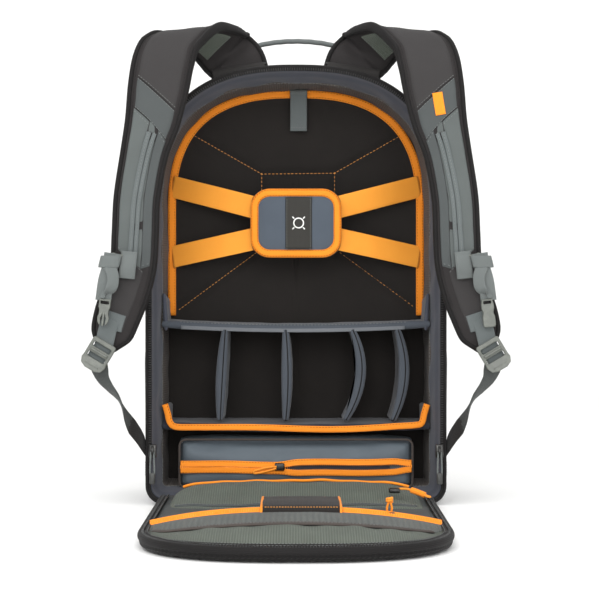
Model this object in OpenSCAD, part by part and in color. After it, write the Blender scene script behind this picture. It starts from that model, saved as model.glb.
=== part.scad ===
// Drone backpack, standing open: its padded back panel is folded down onto the ground.
// Millimetres. +Z is up, the opening faces -Y, and the origin is the middle of the base.

/* [Bag] */
// Height of the bag, without its straps and handle
bag_h = 487; // [440:1:540]
// Width across the sides
bag_w = 330; // [300:1:380]
// Depth of the main compartment, from its rim to the inner wall
main_d = 130; // [118:1:160]
// Depth of the pocket on the far side of the inner wall
far_d = 60; // [40:1:80]
// Height of the round top above its springing line
dome_h = 157; // [130:1:175]
// Radius of the two bottom corners
corner_r = 18; // [12:1:26]
// Thickness of the outer fabric and its stiffener
shell_t = 4; // [3:0.5:6]
// Thickness of the padded lining
lining_t = 9; // [6:0.5:11]
// Thickness of the quilted pad at the back of the compartment
back_pad_t = 12; // [8:1:14]
// Thickness of the stiff wall behind that pad
wall_t = 8; // [5:1:10]
// Thickness of the sole under the bag
sole_t = 3; // [2:0.5:4]

/* [Door] */
// Gap all round between the door and the lining
door_gap = 4; // [3:0.5:6]
// Height of the fold line above the ground
fold_z = 10; // [9:0.5:12]
// Height of the mesh pockets above the door's inner face
pocket_h = 20; // [12:1:22]
// Distance from the fold line to the far edge of the near mesh pocket
near_pocket_u = 300; // [270:1:310]
// Width of the elastic loop in the middle of the door
elastic_w = 78; // [60:1:90]

/* [Insert] */
// Set-back of the shelf, tray and pouch from the rim
set_back = 36; // [34:1:42]
// Height of the top of the shelf
shelf_z = 205; // [195:1:215]
// Thickness of the shelf and of the tray's floor
board_t = 9; // [6:0.5:10]
// Height of the top of the tray's floor
tray_z = 90; // [86:1:100]
// Thickness of a divider
divider_t = 8; // [5:0.5:9]
// Height of the top of the tool pouch
pouch_z = 72; // [62:1:74]
// Width of the tool pouch
pouch_w = 271; // [240:1:285]

/* [Harness] */
// Width of the harness pad
pad_w = 103; // [80:1:120]
// Height of the harness pad
pad_h = 78; // [60:1:90]
// Height of the middle of the harness pad
pad_z = 315; // [305:1:325]
// Width of a harness strap
band_w = 25.5; // [20:0.5:27]

/* [Shoulder straps] */
// Thickness of a shoulder strap
strap_t = 11; // [8:0.5:13]
// Width of the webbing
web_w = 20; // [16:1:22]
// Thickness of the webbing
web_t = 2; // [1.5:0.1:2.5]

/* [Hidden] */
$fn = 32;
eps = 0.3;                                  // clearance between pieces that move apart
half_w = bag_w / 2;
rim_y = -(main_d + far_d) / 2;              // plane of the rim
wall_y1 = rim_y + main_d;                   // far face of the inner wall
wall_y0 = wall_y1 - wall_t;
pad_y0 = wall_y0 - back_pad_t;              // near face of the back pad
far_y = wall_y1 + far_d;
lining_in = shell_t + lining_t;             // inset of the lining's inner face
floor_z = sole_t + shell_t + 5;             // top of the compartment's floor
door_in = lining_in + door_gap;             // inset of the door's edge
in_w = half_w - lining_in;                  // half-width of the compartment
set_y = rim_y + set_back;                   // near edge of the shelf, tray and pouch
dome_n = 2.5;                               // exponent of the dome's superellipse
springing = bag_h - dome_h;
track_t = 4;
piping_t = 5;
door_t = 7;
liner_h = 1;
flap_h = 27;
flap_x = in_w - board_t;
tray_flap_h = 19;
near_len = 150;
root_x0 = 34;                               // inner and outer end of a strap's root
root_x1 = 94;
root_y = rim_y + 35;
root_h = 8;
strap_gap = 2.5;
zip_w = 13;
zip_z0 = 45;                                // lower end of the main zip
far_zip_z0 = 215;                           // lower end of the far pocket's zip
side_z0 = 28;                               // bottom and top of a side pocket
side_z1 = 212;
anchor_z0 = 30;                             // bottom of a webbing anchor
pouch_zip_z = (floor_z + pouch_z) / 2 - 2;
tab_x = 3;                                  // middle of the top tab
tab_w = 20;
elastic_u = near_pocket_u - 26;             // near end of the elastic loop
elastic_len = 108;
slider_x = 84;                              // left end of the near pocket's slider
// Middle, lean and bulge of each divider, the middle as a share of the compartment's half-width
DIVIDERS = [[-0.546, 6, 0], [-0.079, 0, 0], [0.401, 8, 14], [0.743, 5, 9]];
handle_r = 3;
handle_x = 62;
handle_rise = 42;

// Height of the dome's outline at x, for an outline set in by d
function dome_z(x, d) = springing + (dome_h - d)
    * pow(max(0, 1 - pow(abs(x) / (half_w - d), dome_n)), 1 / dome_n);

// Outline of the bag seen from the front: set in by d at the sides and top, z0 at the bottom
function outline(d, z0, steps = 16) = let(w = half_w - d, r = max(2, corner_r - d), h = dome_h - d)
    concat(
        [for (i = [0:4]) [w - r + r * sin(i * 22.5), z0 + r - r * cos(i * 22.5)]],
        [for (i = [0:2 * steps]) let(a = i * 90 / steps, c = cos(a), s = sin(a))
            [sign(c) * w * pow(abs(c), 2 / dome_n), springing + h * pow(abs(s), 2 / dome_n)]],
        [for (i = [4:-1:0]) [-w + r - r * sin(i * 22.5), z0 + r - r * cos(i * 22.5)]]);

// Rectangle with round corners, about its middle
function rounded(w, h, r, n = 4) = [for (q = [0:3], i = [0:n]) let(a = q * 90 + i * 90 / n)
    [(q == 0 || q == 3 ? 1 : -1) * (w / 2 - r) + r * cos(a),
     (q < 2 ? 1 : -1) * (h / 2 - r) + r * sin(a)]];

// An X-Z shape made solid from y0 to y1
module along_y(y0, y1) translate([0, y1, 0]) rotate([90, 0, 0]) linear_extrude(y1 - y0) children();

// A Y-Z shape made solid from x0 to x1
module along_x(x0, x1) translate([x0, 0, 0]) rotate([90, 0, 90]) linear_extrude(x1 - x0) children();

module block(lo, hi) translate(lo) cube(hi - lo);

// A shape in door coordinates (x across, u from the fold line, h above it) from h0 to h1
module on_door(h0, h1) translate([0, rim_y, fold_z + h0]) mirror([0, 1, 0])
    linear_extrude(h1 - h0) children();

// Outline of the door in those coordinates, from u0 on, set in by d more
module door_shape(d, u0) intersection() {
    translate([0, -fold_z]) polygon(outline(door_in + d, 0));
    translate([-half_w, u0]) square([bag_w, bag_h]);
}

// A flat band of width w[i] and thickness t carried along the points p, its width along side[i]
module band(p, side, w, t) {
    n = len(p);
    along = [for (i = [0:n - 1]) p[min(i + 1, n - 1)] - p[max(i - 1, 0)]];
    up = [for (i = [0:n - 1]) let(u = cross(along[i], side[i])) u / norm(u)];
    flat = [for (s = side) s / norm(s)];
    ring = [[-1, -1], [1, -1], [1, 1], [-1, 1]];
    pts = [for (i = [0:n - 1], c = ring) p[i] + flat[i] * c[0] * w[i] / 2 + up[i] * c[1] * t / 2];
    polyhedron(pts, concat([[0, 1, 2, 3]], [[4 * n - 1, 4 * n - 2, 4 * n - 3, 4 * n - 4]],
        [for (i = [0:n - 2], j = [0:3]) let(k = (j + 1) % 4)
            [4 * i + j, 4 * i + 4 + j, 4 * i + 4 + k, 4 * i + k]]), convexity = 6);
}

// Points or numbers between those of p, k to each stretch, on a Catmull-Rom curve
function smooth(p, k) = let(n = len(p)) concat([for (i = [0:n - 2], j = [0:k - 1])
    let(t = j / k, a = p[max(i - 1, 0)], b = p[i], c = p[i + 1], d = p[min(i + 2, n - 1)])
        (2 * b + t * (c - a) + t * t * (2 * a - 5 * b + 4 * c - d)
            + t * t * t * (3 * b - a - 3 * c + d)) / 2], [p[n - 1]]);

module mirrored(side) mirror([side > 0 ? 1 : 0, 0, 0]) children();

// Each piece on a side is drawn for the left, at -X, and mirrored for the right.

// ---- bag ----
module sole() color("#232221") linear_extrude(sole_t)
    translate([0, rim_y + main_d / 2]) polygon(rounded(bag_w - 2 * corner_r, main_d - 8, 14));

module outer_shell() color("#2b2a29") along_y(rim_y, wall_y1) difference() {
    polygon(outline(0, sole_t));
    polygon(outline(shell_t, sole_t + shell_t));
}

module side_lining() color("#4d525d") along_y(rim_y, pad_y0) difference() {
    polygon(outline(shell_t, sole_t + shell_t));
    polygon(outline(lining_in, floor_z));
}

module inner_wall() color("#33312f") along_y(wall_y0, wall_y1) polygon(outline(shell_t, sole_t + shell_t));

module back_pad() color("#1d1a19") along_y(pad_y0, wall_y0) polygon(outline(shell_t, sole_t + shell_t));

module back_piping() color("#f08a1d") along_y(pad_y0 - piping_t, pad_y0) intersection() {
    difference() {
        polygon(outline(lining_in + 4, floor_z));
        polygon(outline(lining_in + 13, floor_z + 4));
    }
    translate([-half_w, shelf_z + 1]) square([bag_w, bag_h]);
}

module main_zip_track() color("#191919") along_y(rim_y - track_t, rim_y) intersection() {
    difference() {
        polygon(outline(1, sole_t));
        polygon(outline(lining_in - 3, sole_t));
    }
    translate([-half_w, zip_z0]) square([bag_w, bag_h]);
}

module main_slider(side) color("#3a3a38") mirrored(side) {
    x = -half_w + 6;
    block([x - 4, rim_y - track_t - 4.3, zip_z0 + 7], [x + 4, rim_y - track_t - eps, zip_z0 + 23]);
    block([x - 3, rim_y - track_t - 6.3, zip_z0 - 21], [x + 3, rim_y - track_t - 4.3, zip_z0 + 13]);
}

module far_pocket() color("#2e2d2b") difference() {
    union() {
        along_y(wall_y1, far_y - 14) polygon(outline(10, 14));
        along_y(far_y - 14, far_y - 5) polygon(outline(15, 18));
        along_y(far_y - 5, far_y) polygon(outline(24, 26));
    }
    along_y(far_y - 34, far_y - 14 - zip_w / 2) difference() {
        polygon(outline(5, 8));
        polygon(outline(12, 14));
        translate([-half_w, 0]) square([bag_w, far_zip_z0]);
    }
}

module far_pocket_zip() color("#f08a1d") along_y(far_y - 34, far_y - 14 - zip_w / 2) difference() {
    polygon(outline(10, 14));
    polygon(outline(12, 14));
    translate([-half_w, 0]) square([bag_w, far_zip_z0]);
}

module far_pocket_slider() color("#f08a1d") {
    x = -half_w + 10;
    y = far_y - 27;
    block([x - 4, y - 5, far_zip_z0 + 17], [x - eps, y + 5, far_zip_z0 + 33]);
    block([x - 6, y - 3, far_zip_z0 - 19], [x - 4, y + 3, far_zip_z0 + 25]);
}

module top_tab_root() color("#6f7674") along_y(pad_y0 - 11.6, pad_y0 - piping_t)
    translate([tab_x, bag_h - lining_in - 6]) square([tab_w, 5], center = true);

module top_tab() color("#6f7674")
    block([tab_x - tab_w / 2, pad_y0 - 14, bag_h - lining_in - 52],
        [tab_x + tab_w / 2, pad_y0 - 11, bag_h - lining_in - 8.5 - eps]);

module strap_root(side) color("#2b2a29") mirrored(side) along_y(root_y - 11, root_y + 11)
    difference() {
        polygon([[-root_x1, dome_z(root_x1, 0) - 6], [-root_x0, dome_z(root_x0, 0) - 6],
            [-root_x0, dome_z(root_x0, 0) + root_h], [-root_x1, dome_z(root_x1, 0) + root_h]]);
        polygon(outline(0, sole_t));
    }

handle_z = dome_z(handle_x - 14, 0) + handle_r + 0.6;      // height of the handle's pivot
handle_y = wall_y1 - 12;
module handle_patches() color("#2b2a29") for (s = [-1, 1]) difference() {
    along_y(handle_y - 10, handle_y + 10) difference() {
        translate([s * handle_x - 10, handle_z - 20]) square([20, 26]);
        polygon(outline(0, sole_t));
    }
    translate([s * handle_x - 11, handle_y, handle_z]) rotate([0, 90, 0])
        cylinder(r = handle_r + 0.08, h = 22);
}

module grab_handle() color("#6f7674") {
    p = [for (i = [0:16]) let(a = 180 * i / 16) [-(handle_x + 14) * cos(a), handle_y,
        handle_z + handle_rise * pow(sin(a), 0.7)]];
    band(p, [for (q = p) [0, 1, 0]], [for (q = p) 2 * handle_r - 0.6], 2 * handle_r - 0.6);
    for (s = [-1, 1]) translate([s * (handle_x + 2) - 13, handle_y, handle_z])
        rotate([0, 90, 0]) cylinder(r = handle_r, h = 26);
}

module side_pocket(side) color("#2b2a29") mirrored(side) along_y(rim_y + 38, wall_y1 - 14)
    polygon([[-half_w, side_z0], [-half_w - 5, side_z0 + 4], [-half_w - 8, side_z0 + 32],
        [-half_w - 8, side_z1 - 22], [-half_w - 5, side_z1], [-half_w - 3, side_z1],
        [-half_w, side_z0 + 32]]);

module web_anchor(side) color("#6f7674") mirrored(side)
    block([-half_w - 3, rim_y + 6, anchor_z0], [-half_w, rim_y + 28, anchor_z0 + 20]);

// The straps, and what they carry, are placed from the shoulder, the upper corner of the rim.
shoulder = [-half_w, rim_y, bag_h];

// Route of the lower webbing, from the ladder lock to its foot above the anchor: at each share of
// the way, how far it bows from the straight line in X and Y
web_top = shoulder + [-46, -57, -339];
web_foot = [-half_w - 2.5, rim_y + 15, anchor_z0 + 28];
WEB_BOW = [[0, 0, 0], [0.111, 0.2, -6], [0.233, 2.9, -8.8], [0.367, 4, -10.4], [0.511, 1.8, -10.8],
    [0.656, 1.5, -9.2], [0.789, 2.7, -6.8], [0.911, 1.9, -3.6], [1, 0, 0]];
WEB_ROUTE = [for (q = WEB_BOW) web_top + (web_foot - web_top) * q[0] + [q[1], q[2], 0]];
WEB_SIDE = [[1, -0.1, 0.3], [1, 0, 0.4], [1, 0.2, 0.5], [0.9, 0.5, 0.5], [0.6, 0.8, 0.4],
    [0.3, 0.8, 0.6], [0.1, 0.8, 0.7], [0, 0.8, 0.7], [0, 0.8, 0.6]];
module lower_webbing(side) color("#6f7674") mirrored(side)
    let(p = smooth(WEB_ROUTE, 6)) band(p, smooth(WEB_SIDE, 6), [for (q = p) web_w], web_t);

// ---- insert ----
module shelf() color("#555a63") {
    block([-in_w, set_y, shelf_z - board_t], [in_w, pad_y0, shelf_z]);
    for (s = [-1, 1]) translate([s * (in_w - board_t / 2) - board_t / 2, set_y, shelf_z - 0.01])
        cube([board_t, pad_y0 - piping_t - 0.5 - set_y, flap_h]);
}

module tray() color("#3c4048") along_y(set_y, pad_y0) {
    translate([-in_w, tray_z - board_t]) square([2 * in_w, board_t]);
    for (s = [-1, 1]) translate([s * (in_w - board_t / 2), tray_z + tray_flap_h / 2 - 0.01])
        square([board_t, tray_flap_h], center = true);
}

module tray_binding() color("#f08a1d") along_y(set_y - 3, set_y) {
    translate([-in_w, tray_z - board_t]) square([2 * in_w, board_t]);
    for (s = [-1, 1]) translate([s * (in_w - board_t / 2), tray_z + tray_flap_h / 2 - 0.01])
        square([board_t, tray_flap_h], center = true);
}

// Divider k of the list
module divider(k) color("#555a63") {
    x = DIVIDERS[k][0] * in_w;
    lean = DIVIDERS[k][1];
    bulge = DIVIDERS[k][2];
    z0 = tray_z + eps;
    z1 = shelf_z - board_t - eps;
    face = [for (i = [0:8]) let(f = i / 8)
        [x + lean * (f - 0.5) + bulge * (1 - pow(2 * f - 1, 2)), z0 + (z1 - z0) * f]];
    along_y(set_y + 1, pad_y0 - 1) polygon(concat([for (q = face) q + [divider_t / 2, 0]],
        [for (i = [8:-1:0]) face[i] - [divider_t / 2, 0]]));
}

module tool_pouch() color("#55616b") {
    z0 = floor_z;
    wall = 3;
    difference() {
        along_y(set_y, pad_y0) translate([0, (z0 + pouch_z) / 2])
            polygon(rounded(pouch_w, pouch_z - z0, 8));
        along_y(set_y + wall, pad_y0 - wall) translate([0, (z0 + pouch_z) / 2])
            polygon(rounded(pouch_w - 2 * wall, pouch_z - z0 - 2 * wall, 6));
        block([-pouch_w / 2 + 8, set_y - 1, pouch_zip_z - 7],
            [pouch_w / 2 - 8, set_y + wall + 1, pouch_zip_z + 7]);
    }
}

// Two tapes that meet left of the slider and part to the right of it
module pouch_zip() color("#f08a1d") along_y(set_y - 1.5, set_y) {
    w = pouch_w / 2 - 3;
    translate([0, pouch_zip_z]) for (s = [-1, 1]) scale([1, s])
        polygon([[-w, 10], [w, 10], [w, 6], [-20, 0.5], [-w, 0.2]]);
}

module pouch_slider() color("#f7962a") {
    block([-26, set_y - 6.5, pouch_zip_z - 5], [-12, set_y - 1.5 - eps, pouch_zip_z + 5]);
    block([-48, set_y - 6, pouch_zip_z - 9], [-26, set_y - 3.5, pouch_zip_z - 2]);
}

// ---- harness ----
pad_y = pad_y0 - 52;
module harness_straps() color("#f7962a") for (s = [-1, 1], v = [-1, 1]) {
    a = [s * (in_w - 8), pad_y0 - piping_t - 1.2, pad_z + v * 41 + 3];
    b = [s * (pad_w / 2 - 16), pad_y + 3.6, pad_z + v * 15];
    p = [for (i = [0:6]) a + (b - a) * i / 6 - [0, 2 * sin(i * 30), 0]];
    band(p, [for (q = p) [0.2 * v * s, 0, 1]], [for (q = p) band_w], 1.6);
}

module harness_pad() color("#f08a1d") along_y(pad_y - 9, pad_y) translate([0, pad_z])
    polygon(rounded(pad_w, pad_h, 20, 6));

// ---- door ----
module door_panel() color("#3d3c3a") on_door(-door_t, liner_h) door_shape(0, 3);

module door_pads() color("#1f1e1d") on_door(-fold_z, -door_t) {
    intersection() {
        door_shape(22, 20);
        union() {
            translate([-half_w, 0]) square([bag_w, 130]);
            for (s = [-1, 1]) translate([s * 72 - 54, 146]) square([108, 330]);
        }
    }
}

module door_zip_track() color("#191919") on_door(liner_h, liner_h + track_t) difference() {
    door_shape(0.6, 8);
    door_shape(8, 0);
}

module far_mesh_pocket() color("#6f7674") translate([0, rim_y, fold_z + liner_h])
    along_x(-half_w + door_in + 14, half_w - door_in - 14)
        polygon([[-24, 0], [-30, pocket_h - 3], [-44, pocket_h], [-112, 8], [-140, 0]]);

module near_mesh_pocket() color("#6f7674") difference() {
    translate([0, rim_y, fold_z + liner_h]) along_x(-half_w, half_w) polygon([[-near_pocket_u, 0],
        [-near_pocket_u, pocket_h - 4], [-near_pocket_u - 30, pocket_h],
        [-near_pocket_u - 95, pocket_h - 1], [-near_pocket_u - near_len, 3],
        [-near_pocket_u - near_len - 4, 0]]);
    on_door(0, 60) difference() {
        translate([-half_w * 2, 0]) square([bag_w * 2, bag_h]);
        door_shape(9, 0);
    }
}

module near_pocket_zip() color("#f08a1d") translate([0, rim_y, fold_z + liner_h])
    along_x(-half_w + door_in + 10, half_w - door_in - 10)
        translate([-near_pocket_u, 3]) square([3, pocket_h - 8]);

module near_pocket_slider() color("#f08a1d")
    translate([slider_x, rim_y - near_pocket_u, fold_z + liner_h]) {
    block([0, 3.3, 6], [12, 8.3, 14]);
    translate([6, 2, pocket_h + 6]) sphere(r = 5);
    block([4, 4.5, 13], [8, 7.5, pocket_h + 2]);
}

// Cord pull of the far mesh pocket's slider, from the fold line and the door's inner face
PULL_ROUTE = [[110, -101, 16], [115, -102, 20], [121, -104, 22], [127, -107, 21], [133, -110, 17.5],
    [138, -113, 14.8], [142, -116, 12.6]];
module far_pocket_pull() color("#f08a1d") translate([0, rim_y, fold_z + liner_h]) {
    band(PULL_ROUTE, [for (q = PULL_ROUTE) [0, 0.4, 1]], [for (q = PULL_ROUTE) 4], 4);
    block([98, -106, 11.4], [111, -96, 18]);
}

// Cut of the elastic loop, t under its upper face
function loop_cut(t) = [[-t, t > 0 ? -1 : 0], [-12, 13 - t], [-34, pocket_h - 1 - t],
    [-elastic_len + 34, pocket_h - 1 - t], [-elastic_len + 12, 13 - t],
    [-elastic_len + t, t > 0 ? -1 : 0]];
module elastic_loop() color("#1b1918") translate([5 - elastic_w / 2, rim_y - elastic_u, fold_z + liner_h])
    along_x(0, elastic_w) mirror([1, 0]) difference() {
        polygon(loop_cut(0));
        polygon(loop_cut(2));
    }

// ---- shoulder straps ----
root_tilt = atan((dome_z(root_x0, 0) - dome_z(root_x1, 0)) / (root_x1 - root_x0));
root_mid = [-(root_x0 + root_x1) / 2, root_y, (dome_z(root_x0, 0) + dome_z(root_x1, 0)) / 2 + root_h];
strap_y = -55;                              // middle of the strap's falling part, from the shoulder
front_y = strap_y - strap_t / 2;            // its near face
STRAP_ROUTE = concat([root_mid - shoulder + [0, 0, strap_gap], root_mid - shoulder + [-4, 1, 12]],
    [[87, 39, 19], [73, 27, 31], [57, 5, 36], [41, -20, 32], [28, -41, 19], [21, -52, -1],
     [16, strap_y, -29], [10, strap_y, -63], [1, strap_y, -99], [-7, strap_y, -147],
     [-9, strap_y, -187], [-11, strap_y, -219], [-18.5, strap_y, -248], [-28, strap_y, -274],
     [-35, strap_y, -297], [-38, strap_y, -311]]);
STRAP_W = [60, 60, 60, 61, 62, 62, 61, 62, 61, 55, 47, 45.5, 46, 46, 47, 46, 38, 22];
STRAP_SIDE = [for (i = [0:17]) i < 3 ? [-cos(root_tilt), 0, -sin(root_tilt)]
    : i < 5 ? [-1, 0.12, -0.2] : i < 7 ? [-1, 0, -0.08] : i < 13 ? [-1, 0, 0] : [-1, 0, 0.3]];
module from_shoulder(side) mirrored(side) translate(shoulder) children();

module strap(side) color("#55514d") from_shoulder(side)
    band(smooth(STRAP_ROUTE, 3), smooth(STRAP_SIDE, 3), smooth(STRAP_W, 3), strap_t);

RAIL = [[12, -75], [5, -99], [-6, -147], [-11, -187], [-14, -225], [-18, -237]];
module strap_rails(side) color("#7a8180") from_shoulder(side)
    let(p = [for (q = RAIL) [q[0], front_y - 1, q[1]]])
        band(p, [for (q = p) [-1, 0, 0]], [for (q = p) 11], 1.6);

module sternum_slider(side) color("#8f918b") from_shoulder(side) {
    block([-22, front_y - 10, -231], [-7, front_y - 2 - eps, -206]);
    block([-39, front_y - 10, -221], [-21, front_y - 8, -207]);
}

module sternum_buckle(side) color("#8f918b") from_shoulder(side) {
    block([-50, front_y - 13, -257], [-31, front_y - 11, -208]);
    block([-50, front_y - 17, -289], [-32, front_y - 8, -256]);
}

module ladder_lock(side) color("#8f918b") from_shoulder(side)
    translate([-48, -69, -317]) rotate([0, 31, 0]) difference() {
        block([-14, -3, -17], [14, 3, 17]);
        for (v = [-7, 7]) block([-10.5, -4, v - 3], [10.5, 4, v + 3]);
    }

module lock_tab(side) color("#6f7674") from_shoulder(side)
    block([-49, front_y - 2, -307], [-27, front_y - 0.01, -287]);

sole();
outer_shell();
side_lining();
inner_wall();
back_pad();
back_piping();
main_zip_track();
far_pocket();
far_pocket_zip();
top_tab_root();
strap_root(-1);  // strap_root_left
strap_root(1);  // strap_root_right
handle_patches();
grab_handle();
top_tab();
far_pocket_slider();
main_slider(-1);  // main_slider_left
main_slider(1);  // main_slider_right
side_pocket(-1);  // side_pocket_left
side_pocket(1);  // side_pocket_right
web_anchor(-1);  // web_anchor_left
web_anchor(1);  // web_anchor_right
lower_webbing(-1);  // lower_webbing_left
lower_webbing(1);  // lower_webbing_right
shelf();
tray();
tray_binding();
divider(0);  // divider_1
divider(1);  // divider_2
divider(2);  // divider_3
divider(3);  // divider_4
tool_pouch();
pouch_zip();
pouch_slider();
harness_straps();
harness_pad();
door_panel();
door_pads();
door_zip_track();
far_mesh_pocket();
near_mesh_pocket();
near_pocket_zip();
near_pocket_slider();
far_pocket_pull();
elastic_loop();
strap(-1);  // strap_left
strap(1);  // strap_right
strap_rails(-1);  // strap_rails_left
strap_rails(1);  // strap_rails_right
sternum_slider(-1);  // sternum_slider_left
sternum_slider(1);  // sternum_slider_right
sternum_buckle(-1);  // sternum_buckle_left
sternum_buckle(1);  // sternum_buckle_right
ladder_lock(-1);  // ladder_lock_left
ladder_lock(1);  // ladder_lock_right
lock_tab(-1);  // lock_tab_left
lock_tab(1);  // lock_tab_right
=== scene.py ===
"""Drone backpack, standing open with its padded back panel folded down in front of it.

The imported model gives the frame. This script dresses it: every soft piece is worked out as a
numpy surface in millimetres, put into a mesh in metres and made to ride on the body that carries
it, and every hard piece gets its moulded shape. X is across, Y is depth, Z is up.
"""

from __future__ import annotations

import logging
import math
from collections.abc import Callable, Iterable, Sequence
from dataclasses import dataclass, field
from enum import Enum
from functools import cached_property

import bmesh
import bpy
import numpy as np
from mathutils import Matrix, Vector


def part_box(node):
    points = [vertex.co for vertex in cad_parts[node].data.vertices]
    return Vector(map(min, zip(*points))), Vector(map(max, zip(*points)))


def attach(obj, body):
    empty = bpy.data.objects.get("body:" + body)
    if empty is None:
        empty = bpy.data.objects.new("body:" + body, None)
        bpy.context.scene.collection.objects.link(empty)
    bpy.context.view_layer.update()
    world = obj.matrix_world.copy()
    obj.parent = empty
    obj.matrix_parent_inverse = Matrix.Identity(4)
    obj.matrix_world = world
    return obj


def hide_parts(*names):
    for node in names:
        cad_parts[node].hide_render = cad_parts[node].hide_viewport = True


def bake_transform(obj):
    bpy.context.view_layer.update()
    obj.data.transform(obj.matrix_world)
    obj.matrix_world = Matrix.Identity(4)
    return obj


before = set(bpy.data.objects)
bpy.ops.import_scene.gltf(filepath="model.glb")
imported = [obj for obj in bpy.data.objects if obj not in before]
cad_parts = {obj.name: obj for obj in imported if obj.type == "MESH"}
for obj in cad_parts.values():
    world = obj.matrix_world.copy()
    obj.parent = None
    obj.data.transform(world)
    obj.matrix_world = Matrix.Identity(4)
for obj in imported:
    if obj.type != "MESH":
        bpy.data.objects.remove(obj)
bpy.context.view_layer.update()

LOG = logging.getLogger("backpack")
MM = 0.001
TAU = 2.0 * math.pi
SIDES = (("left", -1), ("right", 1))
# How square a swept section is: a rolled edge, a woven web, a flat tape.
ROLL_EDGE, WEB_EDGE, TAPE_EDGE = 2.2, 4, 6
Array = np.ndarray
Material = bpy.types.Material
Piece = bpy.types.Object


# ---------------------------------------------------------------- colour and nodes
def linear(hex_colour: str) -> tuple[float, float, float, float]:
    """Turn an sRGB hex colour to the linear colour that a shader takes.

    Args:
        hex_colour: a colour such as "#f08a1d".

    Returns:
        Red, green, blue and alpha, linear.
    """
    parts = [int(hex_colour[i : i + 2], 16) / 255 for i in (1, 3, 5)]
    bent = [c / 12.92 if c <= 0.04045 else ((c + 0.055) / 1.055) ** 2.4 for c in parts]
    return (bent[0], bent[1], bent[2], 1.0)


def add(tree: bpy.types.NodeTree, kind: str, inputs: dict | None = None, **settings: object):
    """Add one node to a tree, with its settings, its values and its links.

    Args:
        tree: the material's node tree.
        kind: the node's type without its prefix, such as "TexNoise".
        inputs: input name or number to a value, or to the output socket that feeds it.
        settings: the node's own properties.

    Returns:
        The new node.
    """
    node = tree.nodes.new("ShaderNode" + kind)
    for name, value in settings.items():
        setattr(node, name, value)
    for name, value in (inputs or {}).items():
        if isinstance(value, bpy.types.NodeSocket):
            tree.links.new(value, node.inputs[name])
        else:
            node.inputs[name].default_value = value
    return node


def calc(tree: bpy.types.NodeTree, operation: str, *values: object) -> bpy.types.Node:
    """Add a node that works one sum out of its values."""
    return add(tree, "Math", dict(enumerate(values)), operation=operation)


def blank_material(name: str) -> Material:
    """A new material whose node tree is empty."""
    mat = bpy.data.materials.new(name)
    mat.use_nodes = True
    mat.node_tree.nodes.clear()
    return mat


def principled(tree: bpy.types.NodeTree, settings: dict) -> None:
    """End a tree with a principled shader and the material's output."""
    shader = add(tree, "BsdfPrincipled", settings)
    out = add(tree, "OutputMaterial")
    tree.links.new(shader.outputs[0], out.inputs[0])


def band_scale(spacing_mm: float) -> float:
    """Scale of a wave texture whose bands lie spacing_mm apart on coordinates in metres."""
    return TAU / (20.0 * spacing_mm * MM)


def noise_scale(size_mm: float) -> float:
    """Scale of a noise texture whose blotches are about size_mm across."""
    return 1.0 / (size_mm * MM)


class Weave(Enum):
    """How a cloth is made, which sets the pattern of its bump and its colour."""

    PLAIN = "plain"
    WEBBING = "webbing"
    MESH = "mesh"
    RIBBED = "ribbed"
    NAP = "nap"
    ELASTIC = "elastic"


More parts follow.
